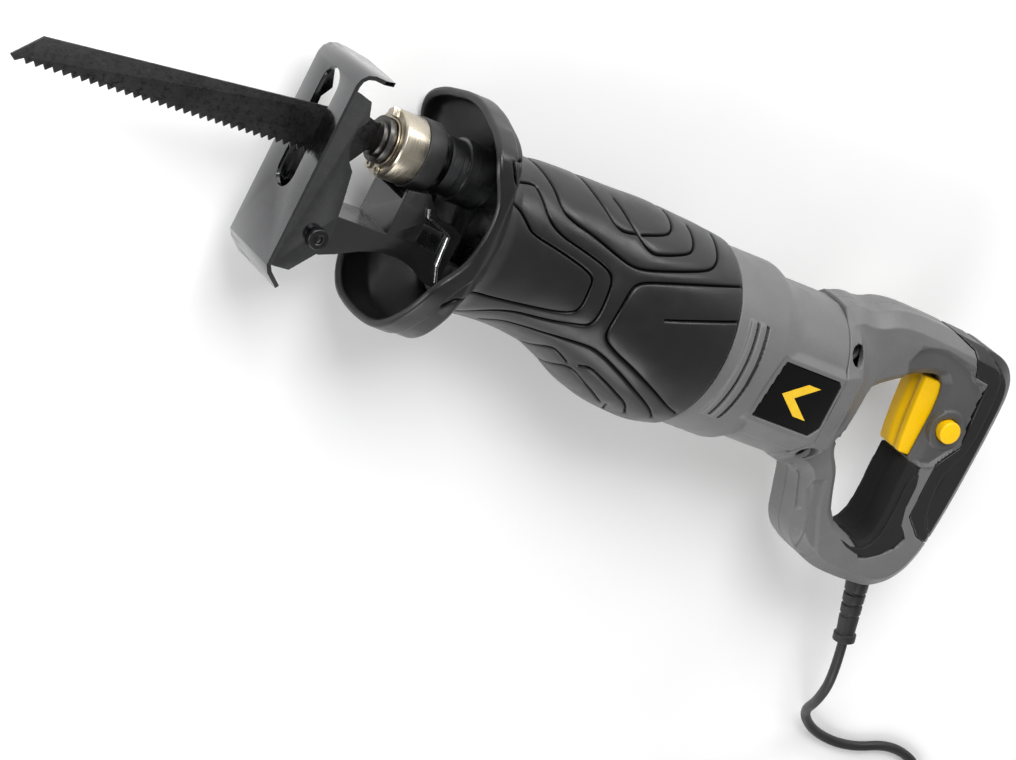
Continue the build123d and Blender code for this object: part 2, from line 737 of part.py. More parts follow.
with BuildPart() as field_windings:
    with BuildSketch(cross(194.5)):
        with Locations((MOTOR_Y, 0)):
            Circle(33)
            Circle(24, mode=Mode.SUBTRACT)
            Rectangle(10, 80, mode=Mode.SUBTRACT)
    extrude(amount=5.5)
    with BuildSketch(cross(242)):
        with Locations((MOTOR_Y, 0)):
            Circle(33)
            Circle(24, mode=Mode.SUBTRACT)
            Rectangle(10, 80, mode=Mode.SUBTRACT)
    extrude(amount=5.5)
    with BuildSketch(cross(200)):
        with Locations((MOTOR_Y, 28.5), (MOTOR_Y, -28.5)):
            Rectangle(29.6, 6.6)
    extrude(amount=42)
field_windings.part.label = "field_windings"
export_step(field_windings.part, "parts/field_windings.step")

with BuildPart() as brush_holders:
    for z in (14, -34):
        with BuildSketch(side(z)):
            with Locations((256, MOTOR_Y)):
                Rectangle(10, 10)
                Rectangle(7.2, 6.4, mode=Mode.SUBTRACT)
        extrude(amount=20)
brush_holders.part.label = "brush_holders"
export_step(brush_holders.part, "parts/brush_holders.step")

with BuildPart() as carbon_brushes:
    with BuildSketch(cross(252.5)):
        with Locations((MOTOR_Y, 19.7), (MOTOR_Y, -19.7)):
            Rectangle(6.2, 16)
    extrude(amount=7)
carbon_brushes.part.label = "carbon_brushes"
export_step(carbon_brushes.part, "parts/carbon_brushes.step")

# --------------------------------------------------------------- motor housing
with BuildPart() as motor_housing:
    with BuildSketch(cross(180.6)):
        with Locations((MOTOR_Y, 0)):
            Circle(40.8)
    extrude(amount=38.8)
    with BuildSketch(cross(219.4)):
        with Locations((MOTOR_Y, 0)):
            Circle(43.4)
    extrude(amount=30.6)
    with BuildSketch(cross(250)):
        with Locations((MOTOR_Y, 0)):
            Circle(43.4)
    with BuildSketch(cross(257)):
        with Locations((MOTOR_Y, 0)):
            Circle(39.4)
    loft()
    with BuildSketch(cross(257)):
        with Locations((MOTOR_Y, 0)):
            Circle(39.4)
    extrude(amount=31)
    with BuildSketch(cross(180)):
        with Locations((MOTOR_Y, 0)):
            Circle(38.3)
    extrude(amount=69, mode=Mode.SUBTRACT)
    with BuildSketch(cross(248)):
        with Locations((MOTOR_Y, 0)):
            Circle(36.2)
    extrude(amount=41, mode=Mode.SUBTRACT)
    # rear web with the seat of the rear bearing
    with BuildSketch(cross(266)):
        with Locations((MOTOR_Y, 0)):
            Circle(36.6)
            Circle(8, mode=Mode.SUBTRACT)
            with PolarLocations(25, 6):
                Circle(6, mode=Mode.SUBTRACT)
    extrude(amount=3)
    with BuildSketch(cross(269)):
        with Locations((MOTOR_Y, 0)):
            Circle(14)
            Circle(11, mode=Mode.SUBTRACT)
    extrude(amount=10)
    # pocket for the badge on the left
    with BuildSketch(side(38.2)):
        Polygon((253, -18.2), (285, -18.2), (287, -20), (287, -42), (283, -47.2), (249.5, -47.2), align=None)
    extrude(amount=8, mode=Mode.SUBTRACT)
    # two raised bars on each flank, behind the boot's seam
    with BuildSketch(side(-44.4)):
        with Locations((229, -24), (234.5, -24)):
            SlotOverall(34, 3.0, rotation=90)
    extrude(amount=3.4)
    with BuildSketch(side(41)):
        with Locations((229, -24), (234.5, -24)):
            SlotOverall(34, 3.0, rotation=90)
    extrude(amount=3.4)
    # cooling slots underneath and on top
    with BuildSketch(deck(-80)):
        with Locations((0, 228), (0, 234), (0, 240)):
            SlotOverall(30, 2.6)
    extrude(amount=14, mode=Mode.SUBTRACT)
motor_housing.part.label = "motor_housing"
export_step(motor_housing.part, "parts/motor_housing.step")

with BuildPart() as badge_plate:
    with BuildSketch(side(38.25)):
        Polygon((253.4, -18.6), (284.8, -18.6), (286.6, -20.2), (286.6, -41.8), (282.8, -46.8),
                (250, -46.8), align=None)
    extrude(amount=1.2)
badge_plate.part.label = "badge_plate"
export_step(badge_plate.part, "parts/badge_plate.step")

# ---------------------------------------------------------------------- handle
HANDLE = [(289, 10.0), (296, 13.8), (306, 13.2), (315.7, 18.1), (331, 19.6), (375.3, 17.2), (384, 15.8),
          (390.5, 12.3), (395.6, 5), (397.5, -8), (BACK_X, -53), (396.2, -80), (393.2, -95), (387, -105),
          (378, -111), (371, LOW_Y), (346, LOW_Y), (331.4, -108.3), (320, -100.6), (315, -86),
          (310.6, -74.1), (306, -68.6), (289, -68.6)]
LOOP = [(320, -19.5), (346, -3.6), (361.3, -3.6), (361.3, -47), (362, -61), (363.2, -75), (362.5, -86),
        (357, -93), (336.5, -86), (330.5, -73.5), (326.5, -63), (320.7, -56.4), (316.5, -50), (318.5, -43),
        (318.7, -27)]
BACK = [(350, 30), (350, 19.5), (365, 14.3), (370.5, 3.5), (378.7, 2.5), (382, -31), (374, -43),
        (374.5, -71), (384, -79), (405, -84), (405, 30)]
GRIP_W = 17.2               # half width of the handle
SHELL = 2.8
CLAMP_X = 374.4             # middle of the cord's clamp

with BuildPart() as handle_form:
    with BuildSketch(side(-GRIP_W)):
        Polygon(*HANDLE, align=None)
        Polygon(*LOOP, align=None, mode=Mode.SUBTRACT)
    extrude(amount=2 * GRIP_W)
    # flare from the grip's width to the round motor housing
    with BuildSketch(cross(288.2)):
        with Locations((MOTOR_Y, 0)):
            Circle(39.3)
    with BuildSketch(cross(296)):
        with Locations((MOTOR_Y, 0)):
            Circle(38.6)
    loft()
    with BuildSketch(cross(296)):
        with Locations((MOTOR_Y, 0)):
            Circle(38.6)
    with BuildSketch(cross(316.2)):
        with Locations((-27, 0)):
            Ellipse(34, 18.5)
    loft()
    # hollow
    with BuildSketch(side(-GRIP_W + SHELL)):
        Polygon(*HANDLE, align=None)
        offset(amount=-SHELL, kind=Kind.INTERSECTION)
        with BuildSketch(mode=Mode.PRIVATE) as loop_wall:
            Polygon(*LOOP, align=None)
            offset(amount=SHELL, kind=Kind.INTERSECTION)
        add(loop_wall.sketch, mode=Mode.SUBTRACT)
    extrude(amount=2 * (GRIP_W - SHELL), mode=Mode.SUBTRACT)
    with BuildSketch(cross(288)):
        with Locations((MOTOR_Y, 0)):
            Circle(36.2)
    with BuildSketch(cross(296)):
        with Locations((MOTOR_Y, 0)):
            Circle(35.6)
    loft(mode=Mode.SUBTRACT)
    with BuildSketch(cross(296)):
        with Locations((MOTOR_Y, 0)):
            Circle(35.6)
    with BuildSketch(cross(313.2)):
        with Locations((-27, 0)):
            Ellipse(30.5, 15.8)
    loft(mode=Mode.SUBTRACT)
    # trigger window in the front wall of the grip
    with BuildSketch(cross(359)):
        with Locations((-25.6, 0)):
            Rectangle(39.6, 19.8)
    extrude(amount=8, mode=Mode.SUBTRACT)
    # seat of the strain relief in the heel
    with BuildSketch(Plane(origin=side(0).from_local_coords((376.6, -106)), z_dir=(10.3, -33, 0))):
        Circle(6.2)
    extrude(amount=12, mode=Mode.SUBTRACT)

SCREWS_LEFT = [(295.0, -5.6), (295.0, -56.5)]
SCREWS_RIGHT = [(325.5, 8.2), (327, -96)]

with BuildPart() as handle_left:
    add(handle_form.part)
    split(bisect_by=side(0), keep=Keep.TOP)
    with BuildSketch(side(-1)):
        Polygon(*BACK, align=None)
    extrude(amount=30, mode=Mode.SUBTRACT)
    # posts for the screws
    with BuildSketch(side(0)):
        with Locations(*SCREWS_RIGHT):
            Circle(4.2)
    extrude(amount=GRIP_W - 1)
    with BuildSketch(side(0)):
        with Locations(*SCREWS_RIGHT):
            Circle(1.9)
    extrude(amount=12, mode=Mode.SUBTRACT)
    # deep sunk screw holes beside the motor housing
    with BuildSketch(side(0)):
        with Locations(*SCREWS_LEFT):
            Circle(6.6)
    extrude(amount=22)
    with BuildSketch(side(0)):
        with Locations(*SCREWS_LEFT):
            Circle(1.9)
    extrude(amount=60, mode=Mode.SUBTRACT)
    with BuildSketch(side(8)):
        with Locations(*SCREWS_LEFT):
            Circle(4.7)
    extrude(amount=60, mode=Mode.SUBTRACT)
    with BuildSketch(cross(270)):
        Rectangle(200, 200)
    extrude(amount=18.3, mode=Mode.SUBTRACT)
    # bore of the lock button
    with BuildSketch(side(10)):
        with Locations((370.9, -25.8)):
            Circle(5.9)
    extrude(amount=10, mode=Mode.SUBTRACT)
handle_left.part.label = "handle_left"
export_step(handle_left.part, "parts/handle_left.step")

with BuildPart() as handle_right:
    add(handle_form.part)
    split(bisect_by=side(0), keep=Keep.BOTTOM)
    with BuildSketch(side(1)):
        Polygon(*BACK, align=None)
    extrude(amount=-30, mode=Mode.SUBTRACT)
    with BuildSketch(side(0)):
        with Locations(*SCREWS_RIGHT):
            Circle(4.2)
    extrude(amount=-(GRIP_W - 1))
    with BuildSketch(side(0)):
        with Locations(*SCREWS_RIGHT):
            Circle(1.9)
    extrude(amount=-GRIP_W - 1, mode=Mode.SUBTRACT)
    with BuildSketch(side(-13)):
        with Locations(*SCREWS_RIGHT):
            Circle(3.6)
    extrude(amount=-8, mode=Mode.SUBTRACT)
    with BuildSketch(side(0)):
        with Locations(*SCREWS_LEFT):
            Circle(6.6)
    extrude(amount=-22)
    with BuildSketch(side(0)):
        with Locations(*SCREWS_LEFT):
            Circle(1.9)
    extrude(amount=-12, mode=Mode.SUBTRACT)
    with BuildSketch(cross(270)):
        Rectangle(200, 200)
    extrude(amount=18.3, mode=Mode.SUBTRACT)
    # saddle that the cord is clamped on, in the heel
    with BuildSketch(side(-15)):
        with Locations((CLAMP_X, -99)):
            Rectangle(22, 7)
    extrude(amount=12.45)
    with BuildSketch(side(-9)):
        with Locations((CLAMP_X - 8.4, -99), (CLAMP_X + 8.4, -99)):
            Circle(1.52)
    extrude(amount=8, mode=Mode.SUBTRACT)
handle_right.part.label = "handle_right"
export_step(handle_right.part, "parts/handle_right.step")

# cover that wraps the back of the handle from top to grip
with BuildPart() as handle_back_cover:
    add(handle_form.part)
    with BuildSketch(side(-30)):
        Polygon(*BACK, align=None)
    extrude(amount=60, mode=Mode.INTERSECT)
handle_back_cover.part.label = "handle_back_cover"
export_step(handle_back_cover.part, "parts/handle_back_cover.step")

PAD = [(363.4, -52), (370, -49.5), (371.2, -74), (380, -82), (367, -97.5), (352, -97.5), (340, -91),
       (356.4, -95.2), (363.6, -87.4), (364.9, -75)]
with BuildPart() as grip_pad_left:
    with BuildSketch(side(GRIP_W)):
        Polygon(*PAD, align=None)
    extrude(amount=1.2)
grip_pad_left.part.label = "grip_pad_left"
export_step(grip_pad_left.part, "parts/grip_pad_left.step")

with BuildPart() as grip_pad_right:
    with BuildSketch(side(-GRIP_W - 1.2)):
        Polygon(*PAD, align=None)
    extrude(amount=1.2)
grip_pad_right.part.label = "grip_pad_right"
export_step(grip_pad_right.part, "parts/grip_pad_right.step")

with BuildPart() as handle_screws:
    with BuildSketch(side(-11)):
        with Locations(*SCREWS_LEFT):
            Circle(1.9)
    extrude(amount=19)
    with BuildSketch(side(8)):
        with Locations(*SCREWS_LEFT):
            Circle(4.0)
    extrude(amount=2.6)
    with BuildSketch(side(9.4)):
        with Locations(*SCREWS_LEFT):
            Rectangle(5.0, 0.9)
            Rectangle(0.9, 5.0)
    extrude(amount=2, mode=Mode.SUBTRACT)
    with BuildSketch(side(11)):
        with Locations(*SCREWS_RIGHT):
            Circle(1.9)
    extrude(amount=-24)
    with BuildSketch(side(-13)):
        with Locations(*SCREWS_RIGHT):
            Circle(3.4)
    extrude(amount=-2.4)
    with BuildSketch(side(-14.2)):
        with Locations(*SCREWS_RIGHT):
            Rectangle(4.4, 0.8)
            Rectangle(0.8, 4.4)
    extrude(amount=-2, mode=Mode.SUBTRACT)
handle_screws.part.label = "handle_screws"
export_step(handle_screws.part, "parts/handle_screws.step")

# --------------------------------------------------------------------- trigger
TRIG_W = 9.5
with BuildPart() as trigger:
    with BuildSketch(side(-TRIG_W)):
        with BuildLine():
            Polyline((367.6, -6.4), (350.4, -6.4), (349, -8), (350.2, -16), (351.6, -27), (353.4, -38),
                     (355.4, -44.2), (357.4, -45.0), (367.6, -45.0), (367.6, -6.4))
        make_face()
    extrude(amount=2 * TRIG_W)
    # finger groove, and the hollow of the moulding
    with BuildSketch(Plane(origin=side(0).from_local_coords((350.9, -26)), x_dir=(0, 0, 1), z_dir=(0.16, 0.987, 0))):
        with Locations((0, -2.6)):
            Ellipse(6.5, 3.6)
    extrude(amount=30, both=True, mode=Mode.SUBTRACT)
    with BuildSketch(cross(360)):
        with Locations((-25.7, 0)):
            Rectangle(34, 15)
    extrude(amount=9, mode=Mode.SUBTRACT)
    with BuildSketch(cross(359.5)):
        with Locations((-24, 0)):
            Rectangle(8, 6)
    extrude(amount=16.5)
trigger.part.label = "trigger"
export_step(trigger.part, "parts/trigger.step")

with BuildPart() as trigger_switch:
    with BuildSketch(cross(374.6)):
        with Locations((-27, -2)):
            Rectangle(30, 17)
    extrude(amount=18)
    # mouth that the trigger's stem enters
    with BuildSketch(cross(374)):
        with Locations((-24, 0)):
            Rectangle(9, 7)
    extrude(amount=9, mode=Mode.SUBTRACT)
    # terminals
    with BuildSketch(deck(-46)):
        with Locations((-6, 380), (3, 380), (-6, 388), (3, 388)):
            Rectangle(2.4, 0.8)
    extrude(amount=4)
trigger_switch.part.label = "trigger_switch"
export_step(trigger_switch.part, "parts/trigger_switch.step")

BUTTON = (370.9, -25.8)
with BuildPart() as lock_button:
    with BuildSketch(side(12.6)):
        with Locations(BUTTON):
            Circle(5.6)
    extrude(amount=7.6)
    fillet(lock_button.edges().filter_by(GeomType.CIRCLE).sort_by(Axis.Z)[-1], 0.8)
lock_button.part.label = "lock_button"
export_step(lock_button.part, "parts/lock_button.step")

# ------------------------------------------------------------- electrical parts
with BuildPart() as capacitor:
    with BuildSketch(side(-9)):
        with Locations((341.5, 6.0)):
            RectangleRounded(15, 12, 1)
    extrude(amount=17)
capacitor.part.label = "capacitor"
export_step(capacitor.part, "parts/capacitor.step")

with BuildPart() as cord_clamp:
    with BuildSketch(side(2.5)):
        with Locations((CLAMP_X, -99)):
            RectangleRounded(22, 7, 1)
        with Locations((CLAMP_X - 8.4, -99), (CLAMP_X + 8.4, -99)):
            Circle(1.5, mode=Mode.SUBTRACT)
    extrude(amount=3)
cord_clamp.part.label = "cord_clamp"
export_step(cord_clamp.part, "parts/cord_clamp.step")

with BuildPart() as cord_clamp_screws:
    with BuildSketch(side(-8)):
        with Locations((CLAMP_X - 8.4, -99), (CLAMP_X + 8.4, -99)):
            Circle(1.5)
    extrude(amount=13.5)
    with BuildSketch(side(5.5)):
        with Locations((CLAMP_X - 8.4, -99), (CLAMP_X + 8.4, -99)):
            Circle(2.8)
    extrude(amount=1.8)
cord_clamp_screws.part.label = "cord_clamp_screws"
export_step(cord_clamp_screws.part, "parts/cord_clamp_screws.step")

# ------------------------------------------------------------ strain relief, cord
SR0, SR1 = (376.8, -106.6), (388.3, -143.6)
sr_dir = (SR1[0] - SR0[0], SR1[1] - SR0[1], 0)
sr_len = math.hypot(*sr_dir[:2])


def relief(t):
    """Plane across the strain relief at t mm from its inner end."""
    k = t / sr_len
    return Plane(origin=(OX + SR0[0] + k * sr_dir[0], OY + SR0[1] + k * sr_dir[1], OZ), z_dir=sr_dir)


with BuildPart() as strain_relief:
    with BuildSketch(relief(0)):
        Circle(6.1)
    with BuildSketch(relief(sr_len - 4)):
        Circle(4.6)
    loft()
    with BuildSketch(relief(sr_len - 4)):
        Circle(5.6)
    extrude(amount=4)
    with BuildSketch(relief(-0.5)):
        Circle(CORD_D / 2)
    extrude(amount=sr_len + 1, mode=Mode.SUBTRACT)
    for t in (12, 18, 24):
        with BuildSketch(relief(t)):
            Circle(8)
            Circle(4.3, mode=Mode.SUBTRACT)
        extrude(amount=1.6, mode=Mode.SUBTRACT)
strain_relief.part.label = "strain_relief"
export_step(strain_relief.part, "parts/strain_relief.step")

LOW = -HALF + CORD_D / 2 + 0.05
ROUTE = [(SR0[0], SR0[1], 0.0), (388.3, -143.6, 0.0), (394.8, -163.0, -1.5), (404.0, -181.0, -15.0),
         (415.0, -195.0, -36.0), (434.0, -206.0, LOW), (458.0, -207.5, LOW), (482.0, -198.5, LOW),
         (506.0, -206.0, LOW), (516.5, -230.0, LOW), (COIL_X + 32.5, COIL_Y + 17.5, LOW)]


def tube_radii(points):
    """Each corner's arc: 0.45 of its shorter run over the tangent of half the turn."""
    radii = []
    for a, b, c in zip(points, points[1:], points[2:]):
        u, v = Vector(*b) - Vector(*a), Vector(*c) - Vector(*b)
        turn = u.get_angle(v)
        radii.append(0.45 * min(u.length, v.length) / math.tan(math.radians(turn / 2)))
    return radii


# the first run lies inside the strain relief and points the cord's way out of it
cord_points = ROUTE[1:]
cord_radii = tube_radii(cord_points)
print("cord radii", [round(r, 1) for r in cord_radii])
with BuildPart() as cord:
    with BuildLine():
        FilletPolyline(*[Vector(OX + a, OY + b, OZ + c) for a, b, c in cord_points], radius=cord_radii)
    first = Vector(*cord_points[1]) - Vector(*cord_points[0])
    with BuildSketch(Plane(origin=Vector(OX + cord_points[0][0], OY + cord_points[0][1], OZ + cord_points[0][2]),
                           z_dir=first)):
        Circle(CORD_D / 2)
    sweep()
cord.part.label = "cord"
export_step(cord.part, "parts/cord.step")
print("cord volume", cord.part.volume, "length", cord.part.volume / (math.pi * CORD_D ** 2 / 4))

with BuildPart() as cord_inner:
    # the stretch inside the strain relief and under the clamp bar
    with BuildSketch(relief(0)):
        Circle(CORD_D / 2)
    extrude(amount=sr_len - 0.1)
    with BuildSketch(relief(-14)):
        Circle(CORD_D / 2)
    extrude(amount=14)
cord_inner.part.label = "cord_inner"
export_step(cord_inner.part, "parts/cord_inner.step")

# the put-away length, wound flat on the table
with BuildPart() as cord_coil:
    with BuildSketch(Plane(origin=(OX + COIL_X, OY + COIL_Y, 0.0))):
        Circle(COIL_RO)
        Circle(COIL_RI, mode=Mode.SUBTRACT)
    extrude(amount=COIL_H)
cord_coil.part.label = "cord_coil"
export_step(cord_coil.part, "parts/cord_coil.step")

with BuildPart() as cord_tie:
    with BuildSketch(Plane(origin=(OX + COIL_X - 3, OY + COIL_Y - 27.5, 9.5), x_dir=(0, 1, 0),
                           z_dir=(1, 0, 0))):
        Rectangle(17.6, 18.8)
        with Locations((0, 0.1)):
            Rectangle(15.1, 16.9, mode=Mode.SUBTRACT)
    extrude(amount=6)
cord_tie.part.label = "cord_tie"
export_step(cord_tie.part, "parts/cord_tie.step")

TAIL_Z = 14.05
PLUG_X, PLUG_Y = COIL_X - 58.0, COIL_Y - 32.5   # rear face of the plug's sleeve
with BuildPart() as cord_tail:
    with BuildSketch(Plane(origin=(OX + PLUG_X, OY + PLUG_Y, TAIL_Z), z_dir=(1, 0, 0))):
        Circle(CORD_D / 2)
    extrude(amount=COIL_X - PLUG_X - 17.5)
cord_tail.part.label = "cord_tail"
export_step(cord_tail.part, "parts/cord_tail.step")

# ------------------------------------------------------------------------- plug
def plug(x):
    """Plane across the plug, x mm from its sleeve's rear face towards its pins."""
    return Plane(origin=(OX + PLUG_X - x, OY + PLUG_Y, TAIL_Z), x_dir=(0, -1, 0), z_dir=(-1, 0, 0))


with BuildPart() as plug_body:
    with BuildSketch(plug(0)):
        Circle(4.6)
    with BuildSketch(plug(18)):
        Circle(6.4)
    loft()
    with BuildSketch(plug(18)):
        RectangleRounded(22, 14, 6.8)
    with BuildSketch(plug(30)):
        RectangleRounded(34, 26, 12)
    with BuildSketch(plug(40)):
        RectangleRounded(36.5, 28, 13)
    loft()
    with BuildSketch(plug(40)):
        RectangleRounded(36.5, 28, 13)
    extrude(amount=12)
    with BuildSketch(plug(46)):
        with Locations((9.5, 0), (-9.5, 0)):
            Circle(2.0)
    extrude(amount=8, mode=Mode.SUBTRACT)
plug_body.part.label = "plug_body"
export_step(plug_body.part, "parts/plug_body.step")

with BuildPart() as plug_pins:
    # a thinner root is moulded into the body, and the pin proper starts at its face
    with BuildSketch(plug(46)):
        with Locations((9.5, 0), (-9.5, 0)):
            Circle(2.0)
    extrude(amount=6)
    with BuildSketch(plug(52)):
        with Locations((9.5, 0), (-9.5, 0)):
            Circle(2.4)
    extrude(amount=19)
    chamfer(plug_pins.edges().filter_by(GeomType.CIRCLE).group_by(Axis.X)[0], 0.8)
plug_pins.part.label = "plug_pins"
export_step(plug_pins.part, "parts/plug_pins.step")
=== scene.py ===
"""Looks of the reciprocating saw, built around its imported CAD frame.

Lengths in the modelling code are millimetres in the saw's own frame, with x along the
tool from the shoe's face to the handle, y up the tool and z across it. P() and to_row()
turn them into the row frame, in metres.
"""

import json
import math

import bmesh
import bpy
import numpy as np
from mathutils import Matrix, Vector

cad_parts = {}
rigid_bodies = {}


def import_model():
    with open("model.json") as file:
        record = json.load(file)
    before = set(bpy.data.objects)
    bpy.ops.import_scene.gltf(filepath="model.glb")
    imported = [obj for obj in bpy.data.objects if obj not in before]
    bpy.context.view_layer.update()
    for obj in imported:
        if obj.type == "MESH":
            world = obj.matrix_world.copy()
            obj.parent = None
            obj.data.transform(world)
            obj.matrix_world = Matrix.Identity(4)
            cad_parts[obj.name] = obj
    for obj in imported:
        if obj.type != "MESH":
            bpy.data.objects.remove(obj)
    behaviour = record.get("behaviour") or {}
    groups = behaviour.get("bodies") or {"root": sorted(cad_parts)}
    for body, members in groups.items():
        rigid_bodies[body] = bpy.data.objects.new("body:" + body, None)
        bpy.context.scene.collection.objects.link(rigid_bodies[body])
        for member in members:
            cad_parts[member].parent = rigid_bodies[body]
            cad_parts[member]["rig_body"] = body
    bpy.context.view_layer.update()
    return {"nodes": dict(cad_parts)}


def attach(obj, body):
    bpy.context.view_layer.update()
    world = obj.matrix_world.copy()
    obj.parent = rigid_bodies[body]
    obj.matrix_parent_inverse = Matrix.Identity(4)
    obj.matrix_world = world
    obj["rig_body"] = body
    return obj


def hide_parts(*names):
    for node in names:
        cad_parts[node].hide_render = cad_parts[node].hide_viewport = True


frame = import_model()
nodes = frame["nodes"]

OX, OY, OZ = -128.95, 39.15, 46.2
OFF = np.array([OX, OY, OZ])


def P(x, y, z):
    return Vector(((x + OX) / 1000, (y + OY) / 1000, (z + OZ) / 1000))


def to_row(points):
    return (np.asarray(points, float) + OFF) / 1000


# ------------------------------------------------------------------ camera
cam_data = bpy.data.cameras.new("view")
cam = bpy.data.objects.new("view", cam_data)
bpy.context.scene.collection.objects.link(cam)
cam_data.sensor_fit = "HORIZONTAL"
cam_data.sensor_width = 36.0
cam_data.lens = 148.763
cam_data.clip_start, cam_data.clip_end = 0.05, 20
right = Vector((0.7983869569795732, 0.44966439172914363, 0.400474970173863))
down = Vector((0.29653993547395996, -0.8724568761335044, 0.3884366949149716))
ahead = Vector((0.5240632915917666, -0.19136596901807368, -0.8299016401404308))
turn = Matrix((right, -down, -ahead)).transposed()
cam.matrix_world = Matrix.Translation((-0.972924, 0.321329, 1.619318)) @ turn.to_4x4()
bpy.context.scene.camera = cam

# --------------------------------------------------------- materials' toolkit


class Mat:
    """A node material that is read in the row frame, in metres."""

    def __init__(self, name):
        self.m = bpy.data.materials.new(name)
        self.m.use_nodes = True
        self.t = self.m.node_tree
        self.b = self.t.nodes["Principled BSDF"]
        self.co = self.t.nodes.new("ShaderNodeTexCoord").outputs["Object"]

    def new(self, kind, **values):
        n = self.t.nodes.new(kind)
        for k, v in values.items():
            setattr(n, k, v)
        return n

    def link(self, a, b):
        self.t.links.new(a, b)

    def map(self, scale):
        n = self.new("ShaderNodeMapping")
        n.inputs["Scale"].default_value = scale
        self.link(self.co, n.inputs["Vector"])
        return n.outputs["Vector"]

    def noise(self, scale, detail=3.0, rough=0.55, vec=None, distortion=0.0):
        n = self.new("ShaderNodeTexNoise")
        n.inputs["Scale"].default_value = scale
        n.inputs["Detail"].default_value = detail
        n.inputs["Roughness"].default_value = rough
        n.inputs["Distortion"].default_value = distortion
        self.link(vec or self.co, n.inputs["Vector"])
        return n.outputs["Fac"]

    def ramp(self, fac, stops):
        n = self.new("ShaderNodeValToRGB")
        e = n.color_ramp.elements
        while len(e) < len(stops):
            e.new(0.5)
        for s, (p, c) in zip(e, stops):
            s.position = p
            s.color = (c, c, c, 1) if isinstance(c, (int, float)) else (*c, 1)
        self.link(fac, n.inputs["Fac"])
        return n.outputs["Color"]

    def mix(self, fac, a, b, blend="MIX"):
        n = self.new("ShaderNodeMix", data_type="RGBA", blend_type=blend)
        for sock, v in ((n.inputs[0], fac), (n.inputs[6], a), (n.inputs[7], b)):
            if isinstance(v, (int, float)):
                sock.default_value = v
            elif isinstance(v, tuple):
                sock.default_value = (*v, 1)
            else:
                self.link(v, sock)
        return n.outputs[2]

    def edges(self, lo=0.52, hi=0.62):
        g = self.new("ShaderNodeNewGeometry")
        return self.ramp(g.outputs["Pointiness"], [(lo, 0.0), (hi, 1.0)])

    def bumps(self, *layers):
        """Each layer is (height, strength, distance in metres)."""
        last = None
        for height, strength, distance in layers:
            n = self.new("ShaderNodeBump")
            n.inputs["Strength"].default_value = strength
            n.inputs["Distance"].default_value = distance
            self.link(height, n.inputs["Height"])
            if last:
                self.link(last, n.inputs["Normal"])
            last = n.outputs["Normal"]
        self.link(last, self.b.inputs["Normal"])

    def rough(self, fac, lo, hi):
        self.link(self.ramp(fac, [(0.3, lo), (0.7, hi)]), self.b.inputs["Roughness"])


def shade(c, k):
    return tuple(min(1.0, v * k) for v in c)


def moulded(name, colour, rough=0.45, grain=1400.0, depth=0.00006, vary=0.12, wear=0.25, spec=0.5,
            coat=0.0, tint=None, painted_shade_and_tone=None):
    """Moulded plastic or rubber: spark-eroded grain, slight clouding, paler rubbed edges that also serve as
    painted highlights, and an optional per-vertex darkening: painted shade in grooves and recesses, and a darker
    tone.
    """
    m = Mat(name)
    cloud = m.noise(38, 4.0, 0.6)
    base = m.ramp(cloud, [(0.3, shade(colour, 1 - vary)), (0.7, shade(colour, 1 + vary))])
    fine = m.noise(grain, 2.0, 0.6)
    base = m.mix(0.10, base, m.ramp(fine, [(0.35, shade(colour, 0.6)), (0.7, shade(colour, 1.5))]))
    # paler convex edges under a scuff pattern: partly real rubbed wear, partly painted highlights along the
    # edges of grooves
    scuff = m.noise(160, 5.0, 0.7, distortion=0.4)
    rub = m.mix(1.0, m.edges(), m.ramp(scuff, [(0.42, 0.0), (0.62, 1.0)]), "MULTIPLY")
    worn_edge_and_highlight = m.mix(1.0, rub, (wear, wear, wear), "MULTIPLY")
    base = m.mix(worn_edge_and_highlight, base, tint or shade(tuple(v + 0.02 for v in colour), 2.0))
    if painted_shade_and_tone:
        # how much darker the plastic is where the mesh's attribute says so: painted shade in grooves and
        # recesses, and the soft grip's own darker grey; the specular is turned down with it so the painted shade
        # reads black
        a = m.new("ShaderNodeAttribute", attribute_name="painted_shade_and_tone")
        base = m.mix(1.0, base, m.ramp(a.outputs["Fac"], painted_shade_and_tone), "MULTIPLY")
        m.link(m.ramp(a.outputs["Fac"], [(0.0, spec), (0.5, spec), (1.0, 0.02)]),
               m.b.inputs["Specular IOR Level"])
    m.link(base, m.b.inputs["Base Color"])
    m.rough(m.noise(70, 5.0, 0.65), max(0.05, rough - 0.07), rough + 0.09)
    m.b.inputs["Specular IOR Level"].default_value = spec
    if coat:
        m.b.inputs["Coat Weight"].default_value = coat
        m.b.inputs["Coat Roughness"].default_value = 0.25
    m.bumps((m.noise(60, 2.0, 0.5), 0.10, 0.0004), (fine, 0.5, depth))
    return m.m


